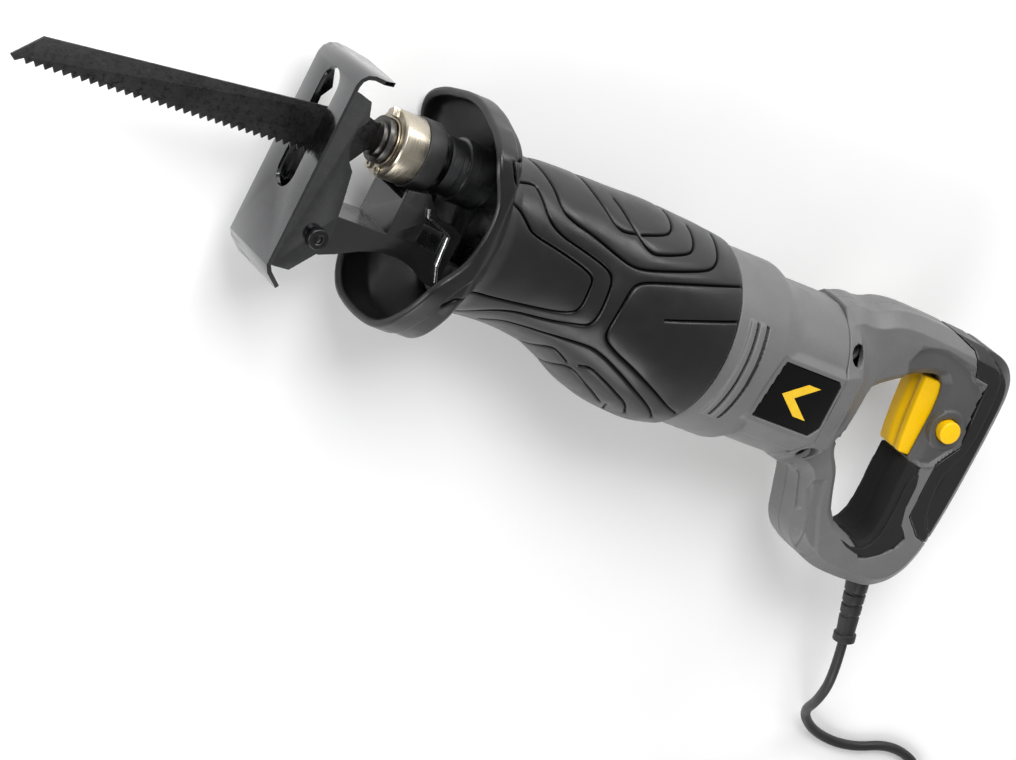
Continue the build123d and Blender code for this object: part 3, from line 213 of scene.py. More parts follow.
def metal(name, colour, rough=0.3, brush=None, vary=0.15, wear=0.3, depth=0.00003, grain=900.0, dark=None,
          coat=0.0):
    """Metal; brush is the scale per axis of fine turned or ground lines."""
    m = Mat(name)
    m.b.inputs["Metallic"].default_value = 1.0
    cloud = m.noise(55, 5.0, 0.6)
    base = m.ramp(cloud, [(0.3, shade(colour, 1 - vary)), (0.7, shade(colour, 1 + vary))])
    lines = m.noise(1.0, 3.0, 0.7, m.map(brush)) if brush else m.noise(grain, 4.0, 0.7)
    base = m.mix(0.25, base, m.ramp(lines, [(0.3, shade(colour, 0.6)), (0.7, shade(colour, 1.3))]))
    if dark:
        spots = m.noise(420, 6.0, 0.75)
        base = m.mix(m.ramp(spots, [(0.5, 0.0), (0.68, 0.8)]), base, dark)
    rub = m.mix(1.0, m.edges(), (wear, wear, wear), "MULTIPLY")
    base = m.mix(rub, base, shade(tuple(v + 0.05 for v in colour), 1.7))
    m.link(base, m.b.inputs["Base Color"])
    m.rough(lines, max(0.05, rough - 0.08), rough + 0.12)
    if coat:
        m.b.inputs["Coat Weight"].default_value = coat
        m.b.inputs["Coat Roughness"].default_value = 0.09
    m.bumps((cloud, 0.12, 0.0002), (lines, 0.35, depth))
    return m.m


M = {
    # the darkening ramps given with the boot and the housing grey: painted shade in grooves and the trigger's
    # recess, and on the handle the soft grip's own darker grey
    "boot": moulded("boot_rubber", (0.0075, 0.0075, 0.0078), 0.34, 1500, 0.00005, 0.16, 0.12, 0.45,
                    painted_shade_and_tone=[(0.0, 1.0), (0.35, 0.8), (1.0, 0.05)]),
    "grey": moulded("housing_grey", (0.132, 0.132, 0.134), 0.42, 1300, 0.00007, 0.08, 0.25, 0.45,
                    painted_shade_and_tone=[(0.0, 1.0), (0.5, 0.58), (1.0, 0.17)]),
    "black": moulded("cover_black", (0.009, 0.009, 0.0093), 0.38, 1300, 0.00006, 0.12, 0.3, 0.5),
    "pad": moulded("pad_grey", (0.0225, 0.0225, 0.023), 0.50, 1100, 0.00008, 0.14, 0.12, 0.06),
    "yellow": moulded("accent_yellow", (1.0, 0.56, 0.0015), 0.36, 1500, 0.00004, 0.04, 0.12, 0.4,
                      tint=(1.0, 0.72, 0.08)),
    "badge": moulded("badge_gloss", (0.002, 0.002, 0.002), 0.26, 700, 0.00001, 0.1, 0.05, 0.22),
    "shoe": metal("shoe_steel", (0.085, 0.086, 0.089), 0.17, None, 0.12, 0.4, 0.00002, 300.0, coat=0.5),
    "arm": moulded("arm_black", (0.010, 0.010, 0.0105), 0.22, 600, 0.00006, 0.2, 0.35, 0.6, coat=0.5),
    "blade": metal("blade_steel", (0.055, 0.054, 0.055), 0.42, (300, 2600, 900), 0.3, 0.8, 0.00004,
                   dark=(0.008, 0.008, 0.008)),
    "nickel": metal("collar_nickel", (0.52, 0.47, 0.38), 0.30, (2600, 90, 90), 0.1, 0.35, 0.00003),
    "tool": metal("tool_steel", (0.11, 0.105, 0.10), 0.34, (1900, 80, 80), 0.2, 0.5, 0.00003),
    "ring": moulded("ring_rubber", (0.011, 0.011, 0.0115), 0.5, 1200, 0.00007, 0.15, 0.3, 0.45),
    "bolt": metal("bolt_black", (0.045, 0.045, 0.047), 0.36, None, 0.2, 0.6, 0.00003),
    "alu": metal("case_alu", (0.12, 0.122, 0.126), 0.33, (1200, 60, 60), 0.3, 0.45, 0.00008, 700.0),
    "wire": metal("wire_bright", (0.62, 0.62, 0.62), 0.22, None, 0.1, 0.2, 0.00002),
    "bronze": metal("bronze", (0.42, 0.25, 0.11), 0.4, None, 0.15, 0.3, 0.00005),
    "copper": metal("copper", (0.55, 0.22, 0.10), 0.35, (900, 120, 120), 0.15, 0.2, 0.00005),
    "lam": metal("laminations", (0.28, 0.28, 0.29), 0.45, (2200, 60, 60), 0.15, 0.2, 0.00005),
    "fan": moulded("fan_plastic", (0.03, 0.03, 0.032), 0.5),
    "carbon": moulded("carbon", (0.015, 0.015, 0.015), 0.6, 900, 0.0001),
    "nylon": moulded("nylon_white", (0.6, 0.59, 0.55), 0.45, 1100, 0.00005, 0.05, 0.05),
    "cord": moulded("cord_black", (0.012, 0.012, 0.0125), 0.47, 1300, 0.00006, 0.15, 0.3, 0.45),
    "brass": metal("pin_brass", (0.60, 0.56, 0.47), 0.25, (1500, 80, 80), 0.08, 0.2, 0.00002),
}

NODE_MAT = {
    "front_grip_boot": "boot", "gear_case_upper": "alu", "gear_case_lower": "alu", "plunger": "tool",
    "plunger_front_bush": "bronze", "plunger_rear_bush": "bronze", "dust_seal": "ring",
    "clamp_nose": "tool", "collar_sleeve": "nickel", "collar_grip_ring": "ring", "collar_spring": "tool",
    "snap_ring": "nickel", "blade_lock_pin": "tool", "blade": "blade", "shoe_plate": "shoe",
    "shoe_arm": "arm", "arm_screws": "bolt", "shoe_pivot_bolt": "bolt", "shoe_pivot_nut": "bolt",
    "pivot_washers": "bolt", "arm_wire_clip": "wire", "drive_gear": "tool", "gear_shaft": "tool",
    "gear_bearing": "bronze", "crank_pin": "tool", "crank_roller": "tool", "armature_shaft": "tool",
    "armature_core": "lam", "armature_windings": "copper", "commutator": "copper", "cooling_fan": "fan",
    "motor_front_bearing": "tool", "motor_rear_bearing": "tool", "bearing_plate": "alu",
    "stator_core": "lam", "field_windings": "copper", "brush_holders": "brass", "carbon_brushes": "carbon",
    "motor_housing": "grey", "badge_plate": "badge", "handle_left": "grey", "handle_right": "grey",
    "handle_back_cover": "black", "grip_pad_left": "pad", "grip_pad_right": "pad",
    "handle_screws": "bolt", "trigger": "yellow", "trigger_switch": "fan", "lock_button": "yellow",
    "capacitor": "nylon", "cord_clamp": "fan", "cord_clamp_screws": "bolt", "strain_relief": "cord",
    "cord": "cord", "cord_inner": "cord", "cord_coil": "cord", "cord_tie": "cord", "cord_tail": "cord",
    "plug_body": "cord", "plug_pins": "brass",
}
for n, key in NODE_MAT.items():
    o = nodes[n]
    o.data.materials.clear()
    o.data.materials.append(M[key])


# --------------------------------------------------------- pieces' toolkit


def mesh_object(name, verts, faces, mat, smooth=True):
    """Vertices in metres in the row frame."""
    me = bpy.data.meshes.new(name)
    verts = np.asarray(verts, np.float32)
    if isinstance(faces, np.ndarray):
        k = faces.shape[1]
        me.vertices.add(len(verts))
        me.vertices.foreach_set("co", verts.ravel())
        me.loops.add(faces.size)
        me.loops.foreach_set("vertex_index", faces.astype(np.int32).ravel())
        me.polygons.add(len(faces))
        me.polygons.foreach_set("loop_start", np.arange(0, faces.size, k, dtype=np.int32))
        me.update(calc_edges=True)
    else:
        me.from_pydata([tuple(v) for v in verts], [], faces)
    me.validate()
    o = bpy.data.objects.new(name, me)
    bpy.context.scene.collection.objects.link(o)
    me.materials.append(mat)
    if smooth:
        me.polygons.foreach_set("use_smooth", np.ones(len(me.polygons), bool))
    return o


def settle(o):
    """Applies the modifiers of o."""
    dg = bpy.context.evaluated_depsgraph_get()
    new = bpy.data.meshes.new_from_object(o.evaluated_get(dg))
    old = o.data
    o.modifiers.clear()
    o.data = new
    new.name = o.name
    bpy.data.meshes.remove(old)
    return o


def stand_for(o, body, slot, *names):
    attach(o, body)
    if names:
        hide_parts(*names)
    return o


def bevelled(node, width=0.0003, segments=3, angle=32, name=None, mat=None, dissolve=0.4):
    """A copy of a CAD node with rounded edges, standing in for it."""
    src = nodes[node]
    me = src.data.copy()
    bm = bmesh.new()
    bm.from_mesh(me)
    bmesh.ops.remove_doubles(bm, verts=bm.verts, dist=2e-6)
    bmesh.ops.dissolve_limit(bm, angle_limit=math.radians(dissolve), verts=bm.verts, edges=bm.edges)
    bm.to_mesh(me)
    bm.free()
    o = bpy.data.objects.new(name or node + "_piece", me)
    bpy.context.scene.collection.objects.link(o)
    key = NODE_MAT[node]
    me.materials.clear()
    me.materials.append(M[mat or key])
    me.polygons.foreach_set("material_index", np.zeros(len(me.polygons), np.int32))
    bev = o.modifiers.new("bevel", "BEVEL")
    bev.width = width
    bev.segments = segments
    bev.limit_method = "ANGLE"
    bev.angle_limit = math.radians(angle)
    bev.use_clamp_overlap = True
    bev.miter_outer = "MITER_ARC"
    settle(o)
    me = o.data
    me.polygons.foreach_set("use_smooth", np.ones(len(me.polygons), bool))
    me.set_sharp_from_angle(angle=math.radians(38))
    stand_for(o, src["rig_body"], key, node)
    return o


def paint_shade_and_tone(o, values):
    """Per vertex darkness, 0 to 1, that the material reads: painted shade in grooves and recesses, and the soft
    grip's darker grey.
    """
    at = o.data.attributes.new("painted_shade_and_tone", "FLOAT", "POINT")
    at.data.foreach_set("value", np.asarray(values, np.float32))


def saw_points(o):
    """Vertices of o in millimetres in the saw's frame."""
    c = np.empty(len(o.data.vertices) * 3, np.float32)
    o.data.vertices.foreach_get("co", c)
    return c.reshape(-1, 3) * 1000.0 - OFF


# signed distance modelling, millimetres in the saw's frame


def poly2(x, y, pts):
    """Signed distance to a polygon, negative inside."""
    pts = np.asarray(pts, float)
    d = np.full(np.broadcast(x, y).shape, 1e9)
    s = np.ones(d.shape)
    n = len(pts)
    for i in range(n):
        a, b = pts[i], pts[i - 1]
        ex, ey = b[0] - a[0], b[1] - a[1]
        wx, wy = x - a[0], y - a[1]
        t = np.clip((wx * ex + wy * ey) / (ex * ex + ey * ey), 0, 1)
        d = np.minimum(d, (wx - ex * t) ** 2 + (wy - ey * t) ** 2)
        c1, c2 = y >= a[1], y < b[1]
        c3 = ex * wy > ey * wx
        flip = (c1 & c2 & c3) | (~c1 & ~c2 & ~c3)
        s = np.where(flip, -s, s)
    return s * np.sqrt(d)


def line2(x, y, pts):
    """Distance to an open line of points."""
    pts = np.asarray(pts, float)
    d = np.full(np.broadcast(x, y).shape, 1e9)
    for a, b in zip(pts, pts[1:]):
        ex, ey = b - a
        wx, wy = x - a[0], y - a[1]
        t = np.clip((wx * ex + wy * ey) / (ex * ex + ey * ey + 1e-12), 0, 1)
        d = np.minimum(d, (wx - ex * t) ** 2 + (wy - ey * t) ** 2)
    return np.sqrt(d)


def chaikin(pts, times=2, closed=False):
    pts = [np.asarray(p, float) for p in pts]
    for _ in range(times):
        out = []
        if closed:
            for a, b in zip(pts, pts[1:] + pts[:1]):
                out += [a * 0.75 + b * 0.25, a * 0.25 + b * 0.75]
        else:
            out = [pts[0]]
            for a, b in zip(pts, pts[1:]):
                out += [a * 0.75 + b * 0.25, a * 0.25 + b * 0.75]
            out += [pts[-1]]
        pts = out
    return np.array(pts)


def meet(a, b, r):
    """Intersection with a rounded edge of radius r."""
    return np.minimum(np.maximum(a, b), -r) + np.hypot(np.maximum(a + r, 0), np.maximum(b + r, 0))


def join(a, b, k):
    """Union with a fillet of about k."""
    h = np.clip(0.5 + 0.5 * (b - a) / k, 0, 1)
    return b * (1 - h) + a * h - k * h * (1 - h)


def smooth(t):
    t = np.clip(t, 0, 1)
    return t * t * (3 - 2 * t)


def axes(lo, hi, h):
    g = [np.arange(a - 2.5 * h, b + 3.5 * h, h) for a, b in zip(lo, hi)]
    return g, g[0][:, None, None], g[1][None, :, None], g[2][None, None, :]


def nets(F, g, h):
    """Surface nets: a quad mesh of F = 0, in millimetres."""
    F = np.asarray(F, np.float32)
    s = F < 0
    n = [k - 1 for k in F.shape]
    count = np.zeros(n, np.int8)
    for i in (0, 1):
        for j in (0, 1):
            for k in (0, 1):
                count += s[i:n[0] + i, j:n[1] + j, k:n[2] + k]
    live = (count > 0) & (count < 8)
    index = np.full(n, -1, np.int64)
    I, J, K = np.nonzero(live)
    index[live] = np.arange(len(I))
    acc = np.zeros((len(I), 3))
    num = np.zeros(len(I))
    corner = [(i, j, k) for i in (0, 1) for j in (0, 1) for k in (0, 1)]
    for a in corner:
        for axis in range(3):
            if a[axis]:
                continue
            b = list(a)
            b[axis] = 1
            fa = F[I + a[0], J + a[1], K + a[2]].astype(float)
            fb = F[I + b[0], J + b[1], K + b[2]].astype(float)
            hit = (fa < 0) != (fb < 0)
            t = np.where(hit, fa / np.where(hit, fa - fb, 1), 0)
            p = np.tile(np.array(a, float), (len(I), 1))
            p[:, axis] += t
            acc += np.where(hit[:, None], p, 0)
            num += hit
    v = acc / num[:, None] + np.c_[I, J, K]
    v = v * h + np.array([g[0][0], g[1][0], g[2][0]])
    quads = []
    a = s[:-1, 1:-1, 1:-1] != s[1:, 1:-1, 1:-1]
    i, j, k = np.nonzero(a)
    j, k = j + 1, k + 1
    q = np.c_[index[i, j - 1, k - 1], index[i, j, k - 1], index[i, j, k], index[i, j - 1, k]]
    back = ~s[i, j, k]
    q[back] = q[back][:, ::-1]
    quads.append(q)
    a = s[1:-1, :-1, 1:-1] != s[1:-1, 1:, 1:-1]
    i, j, k = np.nonzero(a)
    i, k = i + 1, k + 1
    q = np.c_[index[i - 1, j, k - 1], index[i - 1, j, k], index[i, j, k], index[i, j, k - 1]]
    back = ~s[i, j, k]
    q[back] = q[back][:, ::-1]
    quads.append(q)
    a = s[1:-1, 1:-1, :-1] != s[1:-1, 1:-1, 1:]
    i, j, k = np.nonzero(a)
    i, j = i + 1, j + 1
    q = np.c_[index[i - 1, j - 1, k], index[i, j - 1, k], index[i, j, k], index[i - 1, j, k]]
    back = ~s[i, j, k]
    q[back] = q[back][:, ::-1]
    quads.append(q)
    return v, np.vstack(quads)


def carved(name, F, g, h, mat, most=95000):
    """A piece from a signed distance field, thinned where it is flat."""
    v, q = nets(F, g, h)
    o = mesh_object(name, to_row(v), q, mat)
    if len(q) > most:
        d = o.modifiers.new("thin", "DECIMATE")
        d.ratio = most / len(q)
        settle(o)
        o.data.polygons.foreach_set("use_smooth", np.ones(len(o.data.polygons), bool))
    return o


# ------------------------------------------------------------------- cord
COIL = (484.0, -272.0)
LOW = -43.65
K16 = 1 / 0.981


def coil_points():
    """Neat wound turns, clockwise from above, 16 points a turn."""
    z0 = LOW
    up = 4.45
    plan = [(32.5, 0), (27.5, 0), (22.5, 0), (25.0, 1), (30.0, 1), (32.5, 2), (27.5, 2), (22.5, 2),
            (25.0, 3), (30.0, 3)]
    pts = []
    per = 16
    for t, (r, layer) in enumerate(plan):
        nxt = plan[t + 1] if t + 1 < len(plan) else (30.0, 3)
        for k in range(per):
            a = -2 * math.pi * k / per
            f = smooth(np.array((k - 11) / 5.0)) if k > 11 else 0.0
            rr = r + (nxt[0] - r) * f
            zz = z0 + up * (layer + (nxt[1] - layer) * f)
            pts.append((COIL[0] + rr * K16 * math.cos(a), COIL[1] + rr * K16 * math.sin(a), zz))
    z3 = z0 + up * 3
    for k in range(0, 4):
        a = -2 * math.pi * k / per
        pts.append((COIL[0] + 30 * K16 * math.cos(a), COIL[1] + 30 * K16 * math.sin(a), z3))
    return pts


cord_route = [(388.3, -143.6, 0.0), (394.8, -163.0, -1.5), (404.0, -181.0, -15.0), (415.0, -195.0, -36.0),
              (434.0, -206.0, LOW), (458.0, -207.5, LOW), (482.0, -198.5, LOW), (506.0, -206.0, LOW),
              (515.6, -230.0, LOW), (515.7, -254.5, LOW)]
TAIL = 14.05 - OZ
end_route = [(485.0, -303.6, -29.6), (477.0, -304.4, -29.6), (466.0, -304.5, -30.6), (452.0, -304.5, TAIL),
             (438.0, -304.5, TAIL), (424.0, -304.5, TAIL)]
curve = bpy.data.curves.new("mains_cord", "CURVE")
curve.dimensions = "3D"
spline = curve.splines.new("NURBS")
line = cord_route + coil_points() + end_route
spline.points.add(len(line) - 1)
for p, q in zip(spline.points, line):
    p.co = (*P(*q), 1)
spline.order_u = 3
spline.use_endpoint_u = True
curve.resolution_u = 8
curve.bevel_depth = 0.0025
curve.bevel_resolution = 6
curve.use_fill_caps = True
mains = bpy.data.objects.new("mains_cord", curve)
bpy.context.scene.collection.objects.link(mains)
curve.materials.append(M["cord"])
stand_for(mains, "body", "cord", "cord", "cord_coil", "cord_tail")

# --------------------------------------------------------------- grip boot
RIM = [(34.0, 0.0), (33.2, 9.0), (31.0, 18.0), (28.0, 30.0), (22.0, 40.5), (15.0, 44.0),
       (5.0, 45.4), (-5.0, 46.2), (-20.0, 46.2), (-40.0, 46.2), (-47.0, 45.6), (-55.0, 42.5),
       (-62.0, 38.0), (-70.0, 30.5), (-75.0, 21.0), (-76.6, 10.0), (-77.0, 0.0)]
BOOT = [(97, -22.3, 38.2, 38.6), (120, -20.7, 38.3, 37.8), (140, -21.3, 39.4, 38.6),
        (156, -23.7, 42.0, 41.4), (172, -26.8, 45.6, 44.6), (190, -29.1, 47.2, 46.2),
        (206, -30.0, 47.3, 46.2), (219, -29.6, 45.6, 45.0)]
MID = -21.5
FRONT = [(-85, 59.2), (-78, 59.2), (-50, 63.5), (-42, 66.5), (-33.5, 72.5), (-26, 75.8), (-14, 77.6),
         (-1, 77), (7, 73.5), (15, 69), (24, 66.8), (30, 67.4), (40, 67.7)]
# the moulded lines on one flank, as points on its surface
LINES = [
    [(75.6, 19.9, 41.7), (80, 10.2, 44.9), (94.2, 1.5, 31.7), (100.1, -4, 33.9), (104.1, -7.3, 35.5), (120.6, -9.7, 36.2), (136.2, -12.9, 37.6), (141.2, -15.6, 38.4), (141.5, -21.3, 38.9), (142.5, -30.6, 38), (139.5, -34.5, 36.3), (128, -37.8, 34.3), (108.8, -40.7, 33), (91.1, -42.7, 35.2), (79.4, -43.8, 46), (74.9, -51, 44.3)],
    [(77.4, 21.8, 40.6), (102.2, 11.8, 18), (106.5, 7.5, 24.8), (110.7, 0.8, 31.1), (117.7, -3.2, 33.6), (130.8, -5.5, 35.1), (144.7, -8.4, 37.1), (149.8, -11.9, 38.9), (150.5, -19.2, 40.3), (151.5, -31.1, 39.8), (150.5, -36.3, 38.2), (144.8, -39, 35.8), (131.8, -42.4, 32), (110.6, -45.3, 29.8), (96.2, -55.4, 19.8)],
    [(107.5, 16.7, -0.8), (110, 15.4, 10.3), (113.6, 12, 19), (116.4, 7.2, 25.8), (121.4, 3.8, 29.1), (136, 1.4, 31.5), (149.7, -2.6, 35.1), (157.1, -4.2, 36.8), (164.9, -3.4, 37.4), (183, 1.6, 35.1), (199.3, 5.9, 30.5), (204.1, 9.8, 25.1), (205.9, 13.9, 17.3), (207.7, 17, 4.1)],
    [(133, 17.8, -3.7), (135.5, 16.1, 11.8), (141.7, 12.1, 20.7), (145.9, 8.5, 25.7), (150.6, 7.2, 27.6), (157, 8.3, 26.9)],
    [(160.5, 8.8, 26.8), (173.4, 11.9, 23.6), (178.5, 14.3, 19.1), (180.1, 16.9, 11.9), (180.3, 18.5, 1.9)],
    [(148.1, 16.8, 10.4), (153.5, 12.2, 21.3), (159.9, 6.7, 29), (165.3, 3.7, 32.4), (170.5, 4.3, 32.5), (185.3, 8.3, 28.3), (189.9, 10.7, 24.8), (191.7, 15, 16.2), (191.2, 17.3, 8.5)],
    [(220.1, 4.8, 29.5), (199.6, 0.6, 35.5), (170.3, -6.5, 39.7), (162.7, -9.4, 39.9), (159.6, -13.1, 40.6), (158.4, -23.9, 41.9), (158.4, -34.3, 40.7), (160.3, -39, 39.8), (166.2, -42.2, 40.3), (180.6, -46.8, 41.4), (196.3, -53.2, 40), (216.1, -60.6, 33.5)],
    [(110.7, -55.6, 17.1), (116.6, -51.7, 22.6), (127.6, -50.1, 25.1), (141.9, -48.6, 28.6), (154.2, -45.9, 34.7), (160.4, -45.8, 36.8), (169.6, -48.5, 38.4), (186.3, -55.3, 37.7), (202.3, -62.5, 33.3), (209.2, -67.2, 27.8)],
    [(141.3, -60, 9.2), (143.3, -57.7, 17.1), (146.6, -54.6, 23.9), (150.8, -55.4, 24.9), (157, -58.2, 24.3)],
    [(161.4, -56.9, 28.4), (164.5, -54.8, 31.9), (169.8, -56.4, 32.9), (181.2, -60.6, 32.3), (192.1, -65.3, 29.8), (198.7, -70.9, 22.4)],
    [(156.3, -65.5, 5.1), (156.8, -63, 15.6), (159.3, -59.6, 23.7), (166, -61.8, 25), (176.7, -66.5, 23.8), (184.9, -70.2, 20.6)],
    [(188.1, -70.3, 21.8), (194, -74.9, 12.1)],
    [(180.4, -20, 44.7), (203.4, -13.2, 43.3), (219.6, -9, 40.2)],
]


def pchip(xs, ys, xq):
    """Monotone cubic through the rows of ys at xs, at each xq; xq may vary by column."""
    xs = np.asarray(xs, float)
    ys = np.asarray(ys, float)
    h = np.diff(xs)[:, None]
    d = np.diff(ys, axis=0) / h
    m = np.zeros_like(ys)
    a, b = d[:-1], d[1:]
    w1, w2 = 2 * h[1:] + h[:-1], h[1:] + 2 * h[:-1]
    good = a * b > 0
    m[1:-1] = np.where(good, (w1 + w2) / (w1 / np.where(good, a, 1) + w2 / np.where(good, b, 1)), 0)
    m[0], m[-1] = d[0], d[-1]
    k = np.clip(np.searchsorted(xs, xq, side="right") - 1, 0, len(xs) - 2)
    col = np.broadcast_to(np.arange(ys.shape[1]), xq.shape)
    x0, x1 = xs[k], xs[k + 1]
    t = np.clip((xq - x0) / (x1 - x0), 0, 1)
    hh = x1 - x0
    return ((2 * t ** 3 - 3 * t ** 2 + 1) * ys[k, col] + (t ** 3 - 2 * t ** 2 + t) * hh * m[k, col]
            + (-2 * t ** 3 + 3 * t ** 2) * ys[k + 1, col] + (t ** 3 - t ** 2) * hh * m[k + 1, col])


def oval(cy, ry, rz, th):
    """Distance from the boot's middle line to an oval section."""
    c, s = np.cos(th), np.sin(th)
    d = MID - cy
    qa = (c / ry) ** 2 + (s / rz) ** 2
    qb = 2 * d * c / ry ** 2
    qc = (d / ry) ** 2 - 1
    return (-qb + np.sqrt(qb * qb - 4 * qa * qc)) / (2 * qa)


def rim_radius(th):
    loop = [(y, w) for y, w in RIM] + [(y, -w) for y, w in RIM[-2:0:-1]]
    loop = chaikin(loop, 2, closed=True)
    a = np.arctan2(loop[:, 1], loop[:, 0] - MID)
    r = np.hypot(loop[:, 1], loop[:, 0] - MID)
    o = np.argsort(a)
    return np.interp(th, a[o], r[o], period=2 * math.pi)


def seg_distance(p, lines):
    """Distance of points to polylines in space, in chunks."""
    best = np.full(len(p), 1e9, np.float32)
    p = p.astype(np.float32)
    for pts in lines:
        pts = np.asarray(pts, np.float32)
        lo, hi = pts.min(0) - 6, pts.max(0) + 6
        near = np.nonzero(((p > lo) & (p < hi)).all(1))[0]
        q = p[near]
        b = best[near]
        for a, c in zip(pts, pts[1:]):
            e = c - a
            w = q - a
            t = np.clip((w @ e) / (e @ e + 1e-9), 0, 1)
            v = w - t[:, None] * e
            b = np.minimum(b, (v * v).sum(1))
        best[near] = b
    return np.sqrt(best)


def make_boot():
    K, NX, NI = 600, 330, 90
    th = np.linspace(0, 2 * math.pi, K, endpoint=False)
    rim = rim_radius(th)
    f = np.array(FRONT)
    fine = np.array(chaikin(f, 2))
    front = np.interp(MID + rim * np.cos(th), fine[:, 0], fine[:, 1])
    xs = [40, 80, 90] + [b[0] for b in BOOT]
    rs = [rim, rim, oval(-22.0, 40.5, 41.5, th)] + [oval(*b[1:], th) for b in BOOT]
    u = np.linspace(0, 1, NX)[:, None]
    X = 219.0 + (front[None, :] - 219.0) * u
    R = pchip(xs, rs, X)
    dx = X - front[None, :]
    # rolled rim: a rounded edge, a firm band, and a crease behind it
    crease = 8.5 + 2.0 * np.cos(th)[None, :] ** 2
    R -= 0.9 * smooth((dx - crease) / 1.6) * smooth((98 - X) / 10)
    R -= np.where(dx < 2.2, 2.2 - np.sqrt(np.maximum(2.2 ** 2 - (2.2 - dx) ** 2, 0)), 0)
    y = MID + R * np.cos(th)[None, :]
    z = R * np.sin(th)[None, :]
    pts = np.stack([X, y, z], 2).reshape(-1, 3)
    def onto(line):
        """The line, moved radially onto the skin."""
        a0 = np.arctan2(line[:, 2], line[:, 1] - MID)
        ang = np.mod(a0, 2 * math.pi) / (2 * math.pi) * K
        at = np.interp(ang, np.arange(K + 1), np.append(front, front[0]))
        i = np.clip(np.rint((line[:, 0] - 219.0) / (at - 219.0) * (NX - 1)).astype(int), 0, NX - 1)
        j = np.rint(ang).astype(int) % K
        return np.stack([line[:, 0], MID + R[i, j] * np.cos(a0), R[i, j] * np.sin(a0)], 1)

    lines = [onto(chaikin(l, 4)) for l in LINES]
    both = pts.copy()
    both[:, 2] = np.abs(both[:, 2])
    d = seg_distance(both, lines)
    cut = 1.05 * np.exp(-(d / 0.60) ** 2) + 0.26 * np.exp(-(d / 2.4) ** 2)
    # groove between the flare and the grip, and the soft lip at the back seam
    R = R - cut.reshape(R.shape)
    back = 219.0 - X
    R -= np.where(back < 1.0, 1.0 - np.sqrt(np.maximum(1 - (1 - back) ** 2, 0)), 0)
    outer = np.stack([X, MID + R * np.cos(th)[None, :], R * np.sin(th)[None, :]], 2)
    # inside
    w = np.linspace(0, 1, NI)[:, None]
    Xi = front[None, :] + (219.0 - front[None, :]) * w
    inset = 3.6
    xs2 = [40, 76, 93, 97, 120, 140, 156, 172, 190, 206, 219.5]
    mid97 = oval(-22.3, 38.2 - inset, 38.6 - inset, th)
    rs2 = [rim - 4, rim - 4.0, mid97, mid97] + [oval(cy, ry - inset, rz - inset, th)
                                                for _, cy, ry, rz in BOOT[1:]]
    Ri = pchip(xs2, rs2, Xi)
    di = Xi - front[None, :]
    Ri += np.where(di < 1.6, 1.6 - np.sqrt(np.maximum(1.6 ** 2 - (1.6 - di) ** 2, 0)), 0)
    # a second edge runs round the inside of the rim
    Ri += 0.9 * smooth((di - 3.0) / 1.0) * smooth((16 - di) / 8)
    inner = np.stack([Xi, MID + Ri * np.cos(th)[None, :], Ri * np.sin(th)[None, :]], 2)
    rings = np.concatenate([outer, inner], 0)
    n = len(rings)
    v = rings.reshape(-1, 3)
    i = np.arange(n)[:, None]
    j = np.arange(K)[None, :]
    a = i * K + j
    b = i * K + (j + 1) % K
    c = ((i + 1) % n) * K + (j + 1) % K
    e = ((i + 1) % n) * K + j
    q = np.stack(np.broadcast_arrays(a, b, c, e), 2).reshape(-1, 4)
    o = mesh_object("grip_boot", to_row(v), q, M["boot"])
    bm_fix(o)
    t = o.modifiers.new("thin", "DECIMATE")
    t.ratio = 0.40
    settle(o)
    o.data.polygons.foreach_set("use_smooth", np.ones(len(o.data.polygons), bool))
    # painted shade in the grooves, darker and without specular: measured on the surface before it was grooved
    q = saw_points(o)
    rad = np.hypot(q[:, 1] - MID, q[:, 2])
    ang = np.mod(np.arctan2(q[:, 2], q[:, 1] - MID), 2 * math.pi) / (2 * math.pi) * K
    uu = (q[:, 0] - 219.0) / (np.interp(ang, np.arange(K + 1), np.append(front, front[0])) - 219.0) * (NX - 1)
    i0, j0 = np.clip(np.rint(uu).astype(int), 0, NX - 1), np.rint(ang).astype(int) % K
    skin = rad > R[i0, j0] - 1.2
    near = np.where(skin, d.reshape(NX, K)[i0, j0], 9.0)
    paint_shade_and_tone(o, np.clip(1.25 * np.exp(-(near / 0.85) ** 2), 0, 1))
    stand_for(o, "body", "boot", "front_grip_boot")
    return o


def bm_fix(o):
    """Normals outward."""
    bm = bmesh.new()
    bm.from_mesh(o.data)
    if bm.calc_volume(signed=True) < 0:
        bmesh.ops.reverse_faces(bm, faces=bm.faces)
    bm.to_mesh(o.data)
    bm.free()


make_boot()

# ----------------------------------------------------------- motor housing
MY = -29.3
BADGE = [(253.4, -18.6), (284.8, -18.6), (286.6, -20.2), (286.6, -41.8), (282.8, -46.8), (250, -46.8)]
PADTOP = [(251.2, -16.2), (292, -16.2), (292, -49.2), (247.2, -49.2)]


def housing_radius(x):
    return np.interp(x, [180, 219.39, 219.41, 248.5, 250.5, 257.5, 260, 300],
                     [40.8, 40.8, 43.4, 43.4, 43.0, 39.9, 39.4, 39.4])


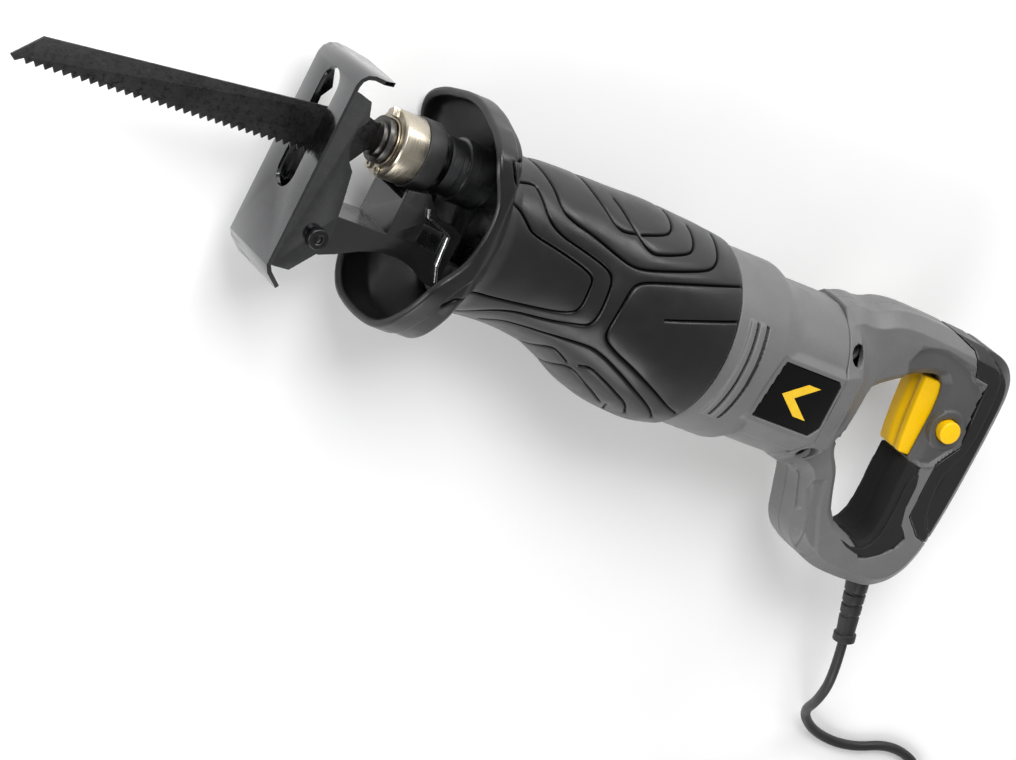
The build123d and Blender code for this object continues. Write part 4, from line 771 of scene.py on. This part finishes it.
def make_housing():
    h = 0.62
    g, X, Y, Z = axes((180.6, -73.4, -45.4), (288.0, 15.4, 45.4), h)
    r = np.sqrt((Y - MY) ** 2 + Z ** 2)
    R = housing_radius(X)
    F = (r - R) * np.where((X > 249) & (X < 259), 0.92, 1.0)
    # flat pads that frame the badges, one on each flank
    d2 = poly2(X[:, :, 0], Y[:, :, 0], PADTOP)[:, :, None]
    az = np.abs(Z)
    pad = np.maximum(az - 39.9, (d2 * 1.25 + az - 39.9) * 0.66)
    pad = np.maximum(pad, 243.0 - X)
    pad = np.maximum(pad, 20 - az)
    pad = np.maximum(pad, np.abs(Y - MY) - 30)
    F = join(F, pad, 0.6)
    # ribs behind the boot's seam
    for x, w in ((228.2, 1.7), (233.2, 2.0)):
        rib = meet(np.maximum(np.abs(X - x) - w, np.abs(Y + 31) - 24.5), r - 44.75, 0.5)
        rib = np.maximum(rib, 22 - az)
        F = join(F, rib, 0.4)
    for x, w, low in ((230.55, 0.75, 42.4), (236.4, 1.3, 42.2)):
        dip = np.maximum(np.maximum(np.abs(X - x) - w, np.abs(Y + 31) - 24.0), low - r)
        F = np.maximum(F, -np.maximum(dip, 22 - az))
    # gap at the boot's seam
    F = np.maximum(F, -np.maximum(np.abs(X - 219.7) - 0.75, 41.6 - r))
    # the badge's frame is cut flat into the fat end of the tube, with a sloping wall
    F = np.maximum(F, np.where((X > 238) & (X < 262), (az - 39.9 - 0.9 * np.maximum(d2, 0)) * 0.74, -9))
    # shallow facet over the tube's crown and belly, as a moulding has
    F = np.maximum(F, np.where(X > 258, np.abs(Y - MY) - 38.9, -9))
    F = np.maximum(F, np.abs(Z) - 46.1)
    F = meet(F, X - 288.0, 0.5)
    F = np.maximum(F, 180.6 - X)
    # inside
    F = np.maximum(F, -np.where(X < 249, r - 38.3, r - 36.2))
    web = np.maximum(np.maximum(np.abs(X - 267.5) - 1.5, r - 36.8), 8 - r)
    for k in range(6):
        a = math.pi / 3 * k
        web = np.maximum(web, 6 - np.sqrt((Y - MY - 25 * math.cos(a)) ** 2 + (Z - 25 * math.sin(a)) ** 2))
    seat = np.maximum(np.maximum(np.abs(X - 274) - 5.0, r - 14), 11 - r)
    F = np.minimum(F, np.minimum(web, seat))
    # badge pocket, and cooling slots underneath
    pocket = poly2(X[:, :, 0], Y[:, :, 0], BADGE)[:, :, None] - 0.4
    F = np.maximum(F, -np.maximum(pocket, 38.22 - Z))
    for x in (228.0, 234.0, 240.0):
        F = np.maximum(F, -np.maximum(np.maximum(np.abs(X - x) - 1.3, np.abs(Z) - 15), Y + 66))
    o = carved("motor_tube", F, g, h, M["grey"])
    # painted shade: the grooves between the ribs and the gap at the boot's seam are painted darker
    q = saw_points(o)
    rr = np.hypot(q[:, 1] - MY, q[:, 2])
    slot = np.zeros(len(q))
    for x, w in ((230.55, 0.9), (236.4, 1.4)):
        slot = np.maximum(slot, (np.abs(q[:, 0] - x) < w) & (rr < 43.1) & (np.abs(q[:, 1] + 31) < 25)
                          & (np.abs(q[:, 2]) > 21))
    slot = np.maximum(slot, (np.abs(q[:, 0] - 219.7) < 0.9) & (rr < 42.8))
    paint_shade_and_tone(o, slot * 0.9)
    stand_for(o, "body", "grey", "motor_housing")


make_housing()

# ------------------------------------------------------------------ handle
HANDLE = [(286, 10.0), (289, 10.0), (296, 13.8), (306, 13.2), (315.7, 18.1), (331, 19.6), (375.3, 17.2),
          (384, 15.8), (390.5, 12.3), (395.6, 5), (397.5, -8), (397.7, -53), (396.2, -80), (393.2, -95),
          (387, -105), (378, -111), (371, -112.3), (346, -112.3), (331.4, -108.3), (320, -100.6),
          (315, -86), (310.6, -74.1), (306, -68.6), (286, -68.6)]
LOOP = [(320, -19.5), (346, -3.6), (361.3, -3.6), (361.3, -47), (362, -61), (363.2, -75), (362.5, -86),
        (357, -93), (336.5, -86), (330.5, -73.5), (326.5, -63), (320.7, -56.4), (316.5, -50), (318.5, -43),
        (318.7, -27)]
BACK = [(350, 30), (350, 19.5), (365, 14.3), (370.5, 3.5), (378.7, 2.5), (382, -31), (374, -43),
        (374.5, -71), (384, -79), (405, -84), (405, 30)]
BACK2 = [(352, 40), (360, 25), (380, 12.5), (387, 3), (388.5, -30), (383, -42), (380.6, -50), (383.2, -66),
         (388, -76), (410, -84), (410, 40)]
PAD = [(363.4, -52), (370, -49.5), (371.2, -74), (380, -82), (367, -97.5), (352, -97.5), (340, -91),
       (356.4, -95.2), (363.6, -87.4), (364.9, -75)]
RECESS = [(331, -1.5), (334.5, 7.6), (348.6, 10.4), (368.0, 7.6), (371.8, 2.2), (379.0, 1.2), (381.5, -9.8),
          (382.4, -30.6), (374.4, -42.6), (371.5, -46.0), (358, -48.4), (346.4, -46.4), (340, -20)]
SOFT = [(336, -80), (345, -60), (352, -46.8), (366.7, -46.5), (368.2, -54.4), (369.8, -64.5), (368.4, -73.8),
        (378.7, -81.6), (375.9, -88.4), (364.7, -96.7), (359.5, -98.5), (357, -95), (352.1, -91.6),
        (345, -87.5), (338, -86.5)]
STRIP = [(314.5, -70), (321.7, -68), (325.6, -81.5), (337.5, -104.5), (336.0, -109), (328.0, -107.5),
         (321.0, -88), (315.0, -76)]
DENT = [(302, -66), (308.8, -67.5), (312.2, -71), (318.6, -86), (316.6, -88.5), (309.0, -72), (302, -71)]


def handle_field(lo, hi, h):
    g, X, Y, Z = axes(lo, hi, h)
    x2, y2 = X[:, :, 0], Y[:, :, 0]
    az = np.abs(Z)
    outer = poly2(x2, y2, chaikin(HANDLE, 2, closed=True))
    loop = poly2(x2, y2, chaikin(LOOP, 2, closed=True))
    rec = poly2(x2, y2, chaikin(RECESS, 1, closed=True))
    strip = poly2(x2, y2, STRIP)
    dent = poly2(x2, y2, DENT)
    top = 17.2 - 2.1 * smooth(-rec / 2.4) - 1.3 * smooth(-strip / 1.6) - 1.8 * smooth(-dent / 1.8)
    # the ridge over the loop stands a little proud of the flank that falls to the spine
    slope = np.clip(y2 - 6.0, 0, 20) * np.clip((372 - x2) / 20, 0, 1) * np.clip((x2 - 312) / 20, 0, 1)
    top = top - 0.30 * slope
    top = top[:, :, None]
    o3, l3 = outer[:, :, None], loop[:, :, None]
    F = meet(o3, az - top, 5.5)
    # chamfered edge of the spine and of the back
    F = np.maximum(F, (o3 + az - top + 6.2) * 0.7071)
    F = meet(F, -l3, 2.6)
    F = np.maximum(F, (-l3 + az - top + 4.0) * 0.7071)
    # flare to the round motor end
    t = np.clip((X - 296) / 20.2, 0, 1)
    e = t ** 0.75
    cy = -29.3 + 2.3 * t
    ry = np.where(X < 296, 39.3 - 0.7 * (X - 288.2) / 7.8, 38.6 - 4.6 * t)
    rz = np.where(X < 296, 39.3 - 0.7 * (X - 288.2) / 7.8, 38.6 - 20.1 * e)
    dy, dz = (Y - cy) / ry, Z / rz
    k = np.sqrt(dy * dy + dz * dz)
    flare = (k - 1) * np.minimum(ry, rz) * 0.9
    flare = np.maximum(flare, X - 316.5)
    F = join(F, flare, 5.0)
    # facets of the flare: pads that carry on the badge frame's flats
    d2 = poly2(x2, y2, [(280, -16.2), (296, -16.2), (304, -24), (304, -42), (296, -49.2), (280, -49.2)])
    pad = np.maximum(az - 39.2 + np.clip(X - 288, 0, 40) * 0.35, (d2[:, :, None] * 1.2 + az - 39.2) * 0.66)
    pad = np.maximum(np.maximum(pad, 24 - az), X - 300)
    F = join(F, pad, 2.0)
    return g, X, Y, Z, az, F, outer, loop


def make_handle():
    h = 0.62
    g, X, Y, Z, az, F, outer, loop = handle_field((288.3, -112.6, 0.0), (398.0, 20.2, 40.2), h)
    x2, y2 = X[:, :, 0], Y[:, :, 0]
    # ribs on the motor end, facing the loop
    for k in range(6):
        yy = -26.0 - 4.6 * k
        xx = np.interp(yy, [-50, -43, -27], [316.5, 318.5, 318.7])
        groove = np.sqrt((X - xx - 0.2) ** 2 + (Y - yy) ** 2) - 1.7
        F = np.maximum(F, -np.maximum(groove, np.abs(az - 10) - 8.5))
    inner = F + 2.8
    F = np.maximum(F, -inner)
    F = np.maximum(F, -np.maximum(np.sqrt((Y - MY) ** 2 + Z ** 2) - 36.0, X - 293))
    F = np.maximum(F, 288.35 - X)
    back = poly2(x2, y2, BACK)[:, :, None]
    pad = poly2(x2, y2, chaikin(PAD, 1, closed=True))[:, :, None]
    back2 = poly2(x2, y2, chaikin(BACK2, 1, closed=True))[:, :, None]
    full = F.copy()
    # trigger window
    win = np.maximum(np.maximum(np.abs(X - 363) - 4.2, np.abs(Y + 25.6) - 19.8), az - 9.9)
    grip = np.maximum(np.maximum(full, -win), -(back - 0.16))
    # groove round the soft grip
    ring = line2(x2, y2, chaikin(SOFT[2:11], 1))[:, :, None] - 0.5
    ring = np.maximum(np.maximum(ring, -(full + 0.9)), 3.0 - az)
    # soft grip's parting line round the heel
    heel = line2(x2, y2, chaikin([(338.0, -86.5), (345, -87.5), (352.1, -91.6), (357, -95), (359.5, -98.5)], 2))
    heel = heel[:, :, None] - 0.42
    for side, name in ((1, "handle_left"), (-1, "handle_right")):
        G = grip.copy()
        if side > 0:
            for sx, sy in ((295.0, -5.6), (295.0, -56.5)):
                rr = np.sqrt((X - sx) ** 2 + (Y - sy) ** 2)
                post = np.maximum(rr - 6.6, az - 24)
                G = np.minimum(G, np.maximum(post, full + 0.5 - 40 * (az < 20)))
                G = np.maximum(G, -np.maximum(rr - 4.7, 8 - az))
                G = np.maximum(G, -(rr - 1.9))
            bx = np.sqrt((X - 370.9) ** 2 + (Y + 25.8) ** 2)
            # raised collar with a thumb scoop beside the lock button
            collar = np.maximum(bx - 9.6, np.abs(az - 14.6) - 1.6)
            G = join(G, collar, 1.6)
            scoop = np.sqrt((X - 365.0) ** 2 + ((Y + 25.0) * 0.8) ** 2 + ((az - 19.2) * 1.4) ** 2) - 5.6
            G = np.maximum(G, -scoop)
            G = np.maximum(G, -np.maximum(bx - 5.95, 10 - az))
        else:
            for sx, sy in ((325.5, 8.2), (327.0, -96.0)):
                rr = np.sqrt((X - sx) ** 2 + (Y - sy) ** 2)
                G = np.minimum(G, np.maximum(rr - 4.6, az - 15.5))
                G = np.maximum(G, -np.maximum(rr - 3.6, 13 - az))
                G = np.maximum(G, -(rr - 1.9))
        G = np.maximum(G, -ring)
        G = np.maximum(G, -np.maximum(np.maximum(heel, 12.0 - az), -(full + 0.9)))
        # bore of the cord's strain relief in the heel
        ux, uy = 11.5 / 38.75, -37.0 / 38.75
        ax, ay = X - 376.8, Y + 106.6
        along = ax * ux + ay * uy
        across = np.sqrt((ax - along * ux) ** 2 + (ay - along * uy) ** 2 + Z ** 2)
        G = np.maximum(G, -np.maximum(across - 6.25, np.abs(along) - 14))
        G = meet(G, 0.10 - Z, 0.35)
        v, q = nets(G, g, h)
        if side < 0:
            v[:, 2] *= -1
            q = q[:, ::-1]
        o = mesh_object(name + "_shell", to_row(v), np.ascontiguousarray(q), M["grey"])
        if len(q) > 95000:
            t = o.modifiers.new("thin", "DECIMATE")
            t.ratio = 95000 / len(q)
            settle(o)
            o.data.polygons.foreach_set("use_smooth", np.ones(len(o.data.polygons), bool))
        q = saw_points(o)
        # the soft grip painted its own darker grey, and the recess round the trigger painted darker as painted
        # shade over the grey
        soft = poly2(q[:, 0], q[:, 1], SOFT)
        dim = poly2(q[:, 0], q[:, 1], RECESS)
        paint_shade_and_tone(o, np.maximum(smooth(0.5 - soft / 0.5), 0.5 * smooth(0.6 - dim / 1.2)))
        stand_for(o, "body", "grey", name)
        # soft grip insert
        S = np.maximum(meet(pad + 0.45, az - 17.5, 0.5), 15.4 - az)
        S = np.maximum(S, -(back - 0.3))
        lo = [int((a - b[0]) / h) for a, b in zip((334, -100, 14), g)]
        hi = [int((a - b[0]) / h) + 1 for a, b in zip((384, -46, 21), g)]
        sub = S[lo[0]:hi[0], lo[1]:hi[1], lo[2]:hi[2]]
        gs = [b[a:c] for a, b, c in zip(lo, g, hi)]
        v, q = nets(sub, gs, h)
        if side < 0:
            v[:, 2] *= -1
            q = q[:, ::-1]
        pname = "grip_pad_left" if side > 0 else "grip_pad_right"
        o = mesh_object(pname + "_insert", to_row(v), np.ascontiguousarray(q), M["pad"])
        stand_for(o, "body", "pad", pname)
    # back cover, both flanks in one piece, with a second step
    top = full
    cover = np.maximum(top, back + 0.16)
    step = np.maximum(np.abs(back2) - 0.5, -(full + 0.55))
    cover = np.maximum(cover, -step)
    lo = int((345 - g[0][0]) / h)
    lo2 = int((-90 - g[1][0]) / h)
    sub = cover[lo:, lo2:, :]
    zpos = g[2]
    keep = zpos > 1e-6
    mirrored = np.concatenate([sub[:, :, keep][:, :, ::-1], sub[:, :, np.abs(zpos) <= 1e-6], sub[:, :, keep]], 2)
    gs = [g[0][lo:], g[1][lo2:], np.concatenate([-zpos[keep][::-1], zpos[np.abs(zpos) <= 1e-6], zpos[keep]])]
    if len(gs[2]) < 3 or not np.allclose(np.diff(gs[2]), h, atol=1e-3):
        full2 = handle_field((345, -90, -18.5), (398.0, 20.2, 18.5), h)
        gg, XX, YY, ZZ, aa, FF = full2[:6]
        FF = np.maximum(FF, -(FF + 2.8))
        bb = poly2(XX[:, :, 0], YY[:, :, 0], BACK)[:, :, None]
        b2 = poly2(XX[:, :, 0], YY[:, :, 0], chaikin(BACK2, 1, closed=True))[:, :, None]
        cc = np.maximum(FF, bb + 0.16)
        cc = np.maximum(cc, -np.maximum(np.abs(b2) - 0.5, -(FF + 0.55)))
        mirrored, gs = cc, gg
    o = carved("back_cover_shell", mirrored, gs, h, M["black"])
    stand_for(o, "body", "black", "handle_back_cover")


make_handle()

# --------------------------------------------------------- trigger, button


def make_trigger():
    h = 0.4
    g, X, Y, Z = axes((348.5, -45.2, -9.7), (367.8, -6.2, 9.7), h)
    prof = [(367.6, -6.4), (350.4, -6.4), (349.3, -7.4), (350.2, -16), (351.6, -27), (353.4, -38),
            (355.2, -44.0), (357.0, -45.0), (367.6, -45.0)]
    d2 = poly2(X[:, :, 0], Y[:, :, 0], prof)[:, :, None]
    F = meet(d2, np.abs(Z) - 9.5, 1.1)
    # the finger face has a rounded ridge, a valley and a broad side
    face = np.interp(Y[0, :, 0], [-45, -38, -27, -16, -6.4], [355.0, 353.4, 351.6, 350.2, 349.4])[None, :, None]
    depth = 2.3 * np.exp(-((Z - 2.6) / 2.7) ** 2) + 0.9 * smooth((-Z - 2) / 8) + 0.9 * smooth((Z - 6.0) / 4)
    F = meet(F, (face + depth - X) * 0.8, 0.7)
    F = np.maximum(F, -meet(np.maximum(360.0 - X, np.abs(Y + 25.7) - 17), np.abs(Z) - 7.5, 0.5))
    o = carved("trigger_lever", F, g, h, M["yellow"])
    stand_for(o, "trigger", "yellow", "trigger")
    # its stem, into the switch
    h = 0.5
    g, X, Y, Z = axes((358.4, -28.2, -3.2), (376.2, -19.8, 3.2), h)
    S = meet(np.maximum(np.abs(X - 367.2) - 8.8, np.abs(Y + 24) - 4.0), np.abs(Z) - 3.0, 0.5)
    stem = carved("trigger_stem", S, g, h, M["yellow"])
    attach(stem, "trigger")


def make_button():
    h = 0.22
    cx, cy = 370.9, -25.8
    g, X, Y, Z = axes((cx - 5.8, cy - 5.8, 12.5), (cx + 5.8, cy + 5.8, 20.3), h)
    r = np.sqrt((X - cx) ** 2 + (Y - cy) ** 2)
    F = meet(r - 5.6, Z - 20.0 + 0.012 * r * r, 0.9)
    F = np.maximum(F, 12.6 - Z)
    # a fine grip ring on its face
    F = np.maximum(F, -(np.hypot(r - 3.7, Z - 20.1) - 0.34))
    o = carved("lock_button_cap", F, g, h, M["yellow"])
    stand_for(o, "lock_button", "yellow", "lock_button")


make_trigger()
make_button()

# ------------------------------------------------------- parts kept as built
for node, width in (("clamp_nose", 0.35), ("collar_sleeve", 0.45), ("collar_grip_ring", 0.7),
                    ("snap_ring", 0.12), ("shoe_plate", 0.45), ("shoe_arm", 0.6), ("arm_screws", 0.3),
                    ("shoe_pivot_bolt", 0.5), ("shoe_pivot_nut", 0.4), ("pivot_washers", 0.4),
                    ("blade", 0.12), ("gear_case_upper", 0.5), ("gear_case_lower", 0.5), ("dust_seal", 0.5),
                    ("badge_plate", 0.3), ("strain_relief", 0.35), ("plug_body", 0.6), ("plug_pins", 0.2),
                    ("handle_screws", 0.25), ("cord_tie", 0.3), ("blade_lock_pin", 0.2), ("plunger", 0.3)):
    bevelled(node, width / 1000)

# ------------------------------------------------------------ badge's graphic
# a plain chevron in raised foil


def foil(name, polys, z, colour):
    verts, faces = [], []
    for pts in polys:
        n = len(pts)
        base = len(verts)
        for zz in (z - 0.05, z + 0.08):
            verts += [tuple(P(x, y, zz)) for x, y in pts]
        faces.append(tuple(base + i for i in reversed(range(n))))
        faces.append(tuple(base + n + i for i in range(n)))
        for i in range(n):
            j = (i + 1) % n
            faces.append((base + i, base + j, base + n + j, base + n + i))
    o = mesh_object(name, verts, faces, colour, smooth=False)
    bm_fix(o)
    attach(o, "body")
    return o


M["foil"] = moulded("badge_foil", (0.82, 0.5, 0.02), 0.3, 900, 0.00002, 0.06, 0.1)
chevron = [(259.0, -32.8), (270.2, -24.6), (277.4, -24.6), (266.2, -32.8), (277.4, -41.0), (270.2, -41.0)]
foil("badge_chevron", [chevron], 39.45, M["foil"])

# ---------------------------------------------------------------- the studio
floor_mesh = bpy.data.meshes.new("floor")
floor_mesh.from_pydata([(-9, -9, 0), (9, -9, 0), (9, 9, 0), (-9, 9, 0)], [], [(0, 1, 2, 3)])
floor = bpy.data.objects.new("floor", floor_mesh)
bpy.context.scene.collection.objects.link(floor)
fm = Mat("floor_paper")
fm.link(fm.ramp(fm.noise(30, 3.0), [(0.3, 0.975), (0.7, 0.985)]), fm.b.inputs["Base Color"])
fm.b.inputs["Roughness"].default_value = 0.9
fm.b.inputs["Specular IOR Level"].default_value = 0.1
floor_mesh.materials.append(fm.m)

world = bpy.data.worlds.new("studio")
bpy.context.scene.world = world
world.use_nodes = True
bg = world.node_tree.nodes["Background"]
bg.inputs["Strength"].default_value = 1.0
wt = world.node_tree
way = wt.nodes.new("ShaderNodeTexCoord")
split = wt.nodes.new("ShaderNodeSeparateXYZ")
wt.links.new(way.outputs["Generated"], split.inputs[0])


def sky_ramp(fac, stops):
    n = wt.nodes.new("ShaderNodeValToRGB")
    e = n.color_ramp.elements
    while len(e) < len(stops):
        e.new(0.5)
    for el, (at, v) in zip(e, stops):
        el.position = at
        el.color = (v, v, v, 1)
    wt.links.new(fac, n.inputs["Fac"])
    return n.outputs["Color"]


# bright walls, a dimmer ceiling, and a dark place where the photographer stands
walls = sky_ramp(split.outputs["Z"], [(0.0, 0.80), (0.25, 0.72), (0.6, 0.40), (1.0, 0.34)])
stand = wt.nodes.new("ShaderNodeVectorMath")
stand.operation = "DOT_PRODUCT"
wt.links.new(way.outputs["Generated"], stand.inputs[0])
stand.inputs[1].default_value = (-0.72, 0.02, 0.69)
dark = sky_ramp(stand.outputs["Value"], [(0.72, 1.0), (0.93, 0.12)])
both = wt.nodes.new("ShaderNodeMix")
both.data_type = "RGBA"
both.blend_type = "MULTIPLY"
both.inputs[0].default_value = 1.0
wt.links.new(walls, both.inputs[6])
wt.links.new(dark, both.inputs[7])
wt.links.new(both.outputs[2], bg.inputs["Color"])


def area(name, at, towards, size, power, size_y=None):
    d = bpy.data.lights.new(name, "AREA")
    d.energy = power
    d.size = size
    if size_y:
        d.shape = "RECTANGLE"
        d.size_y = size_y
    o = bpy.data.objects.new(name, d)
    bpy.context.scene.collection.objects.link(o)
    o.location = at
    o.rotation_mode = "QUATERNION"
    o.rotation_quaternion = (Vector(towards) - Vector(at)).to_track_quat("-Z", "Y")
    return o


area("key", (-0.55, 0.95, 1.15), (0.05, 0.02, 0.04), 0.8, 19.0)
area("fill", (0.25, -1.5, 0.95), (0.05, 0.0, 0.04), 1.0, 11.0)
area("rim", (0.35, 1.35, 0.55), (0.05, 0.0, 0.04), 1.0, 8.0, 0.3)
area("front", (-1.35, -0.45, 0.5), (0.0, 0.0, 0.04), 0.6, 9.0)

bpy.context.scene.view_settings.view_transform = "Standard"
bpy.context.scene.view_settings.look = "None"
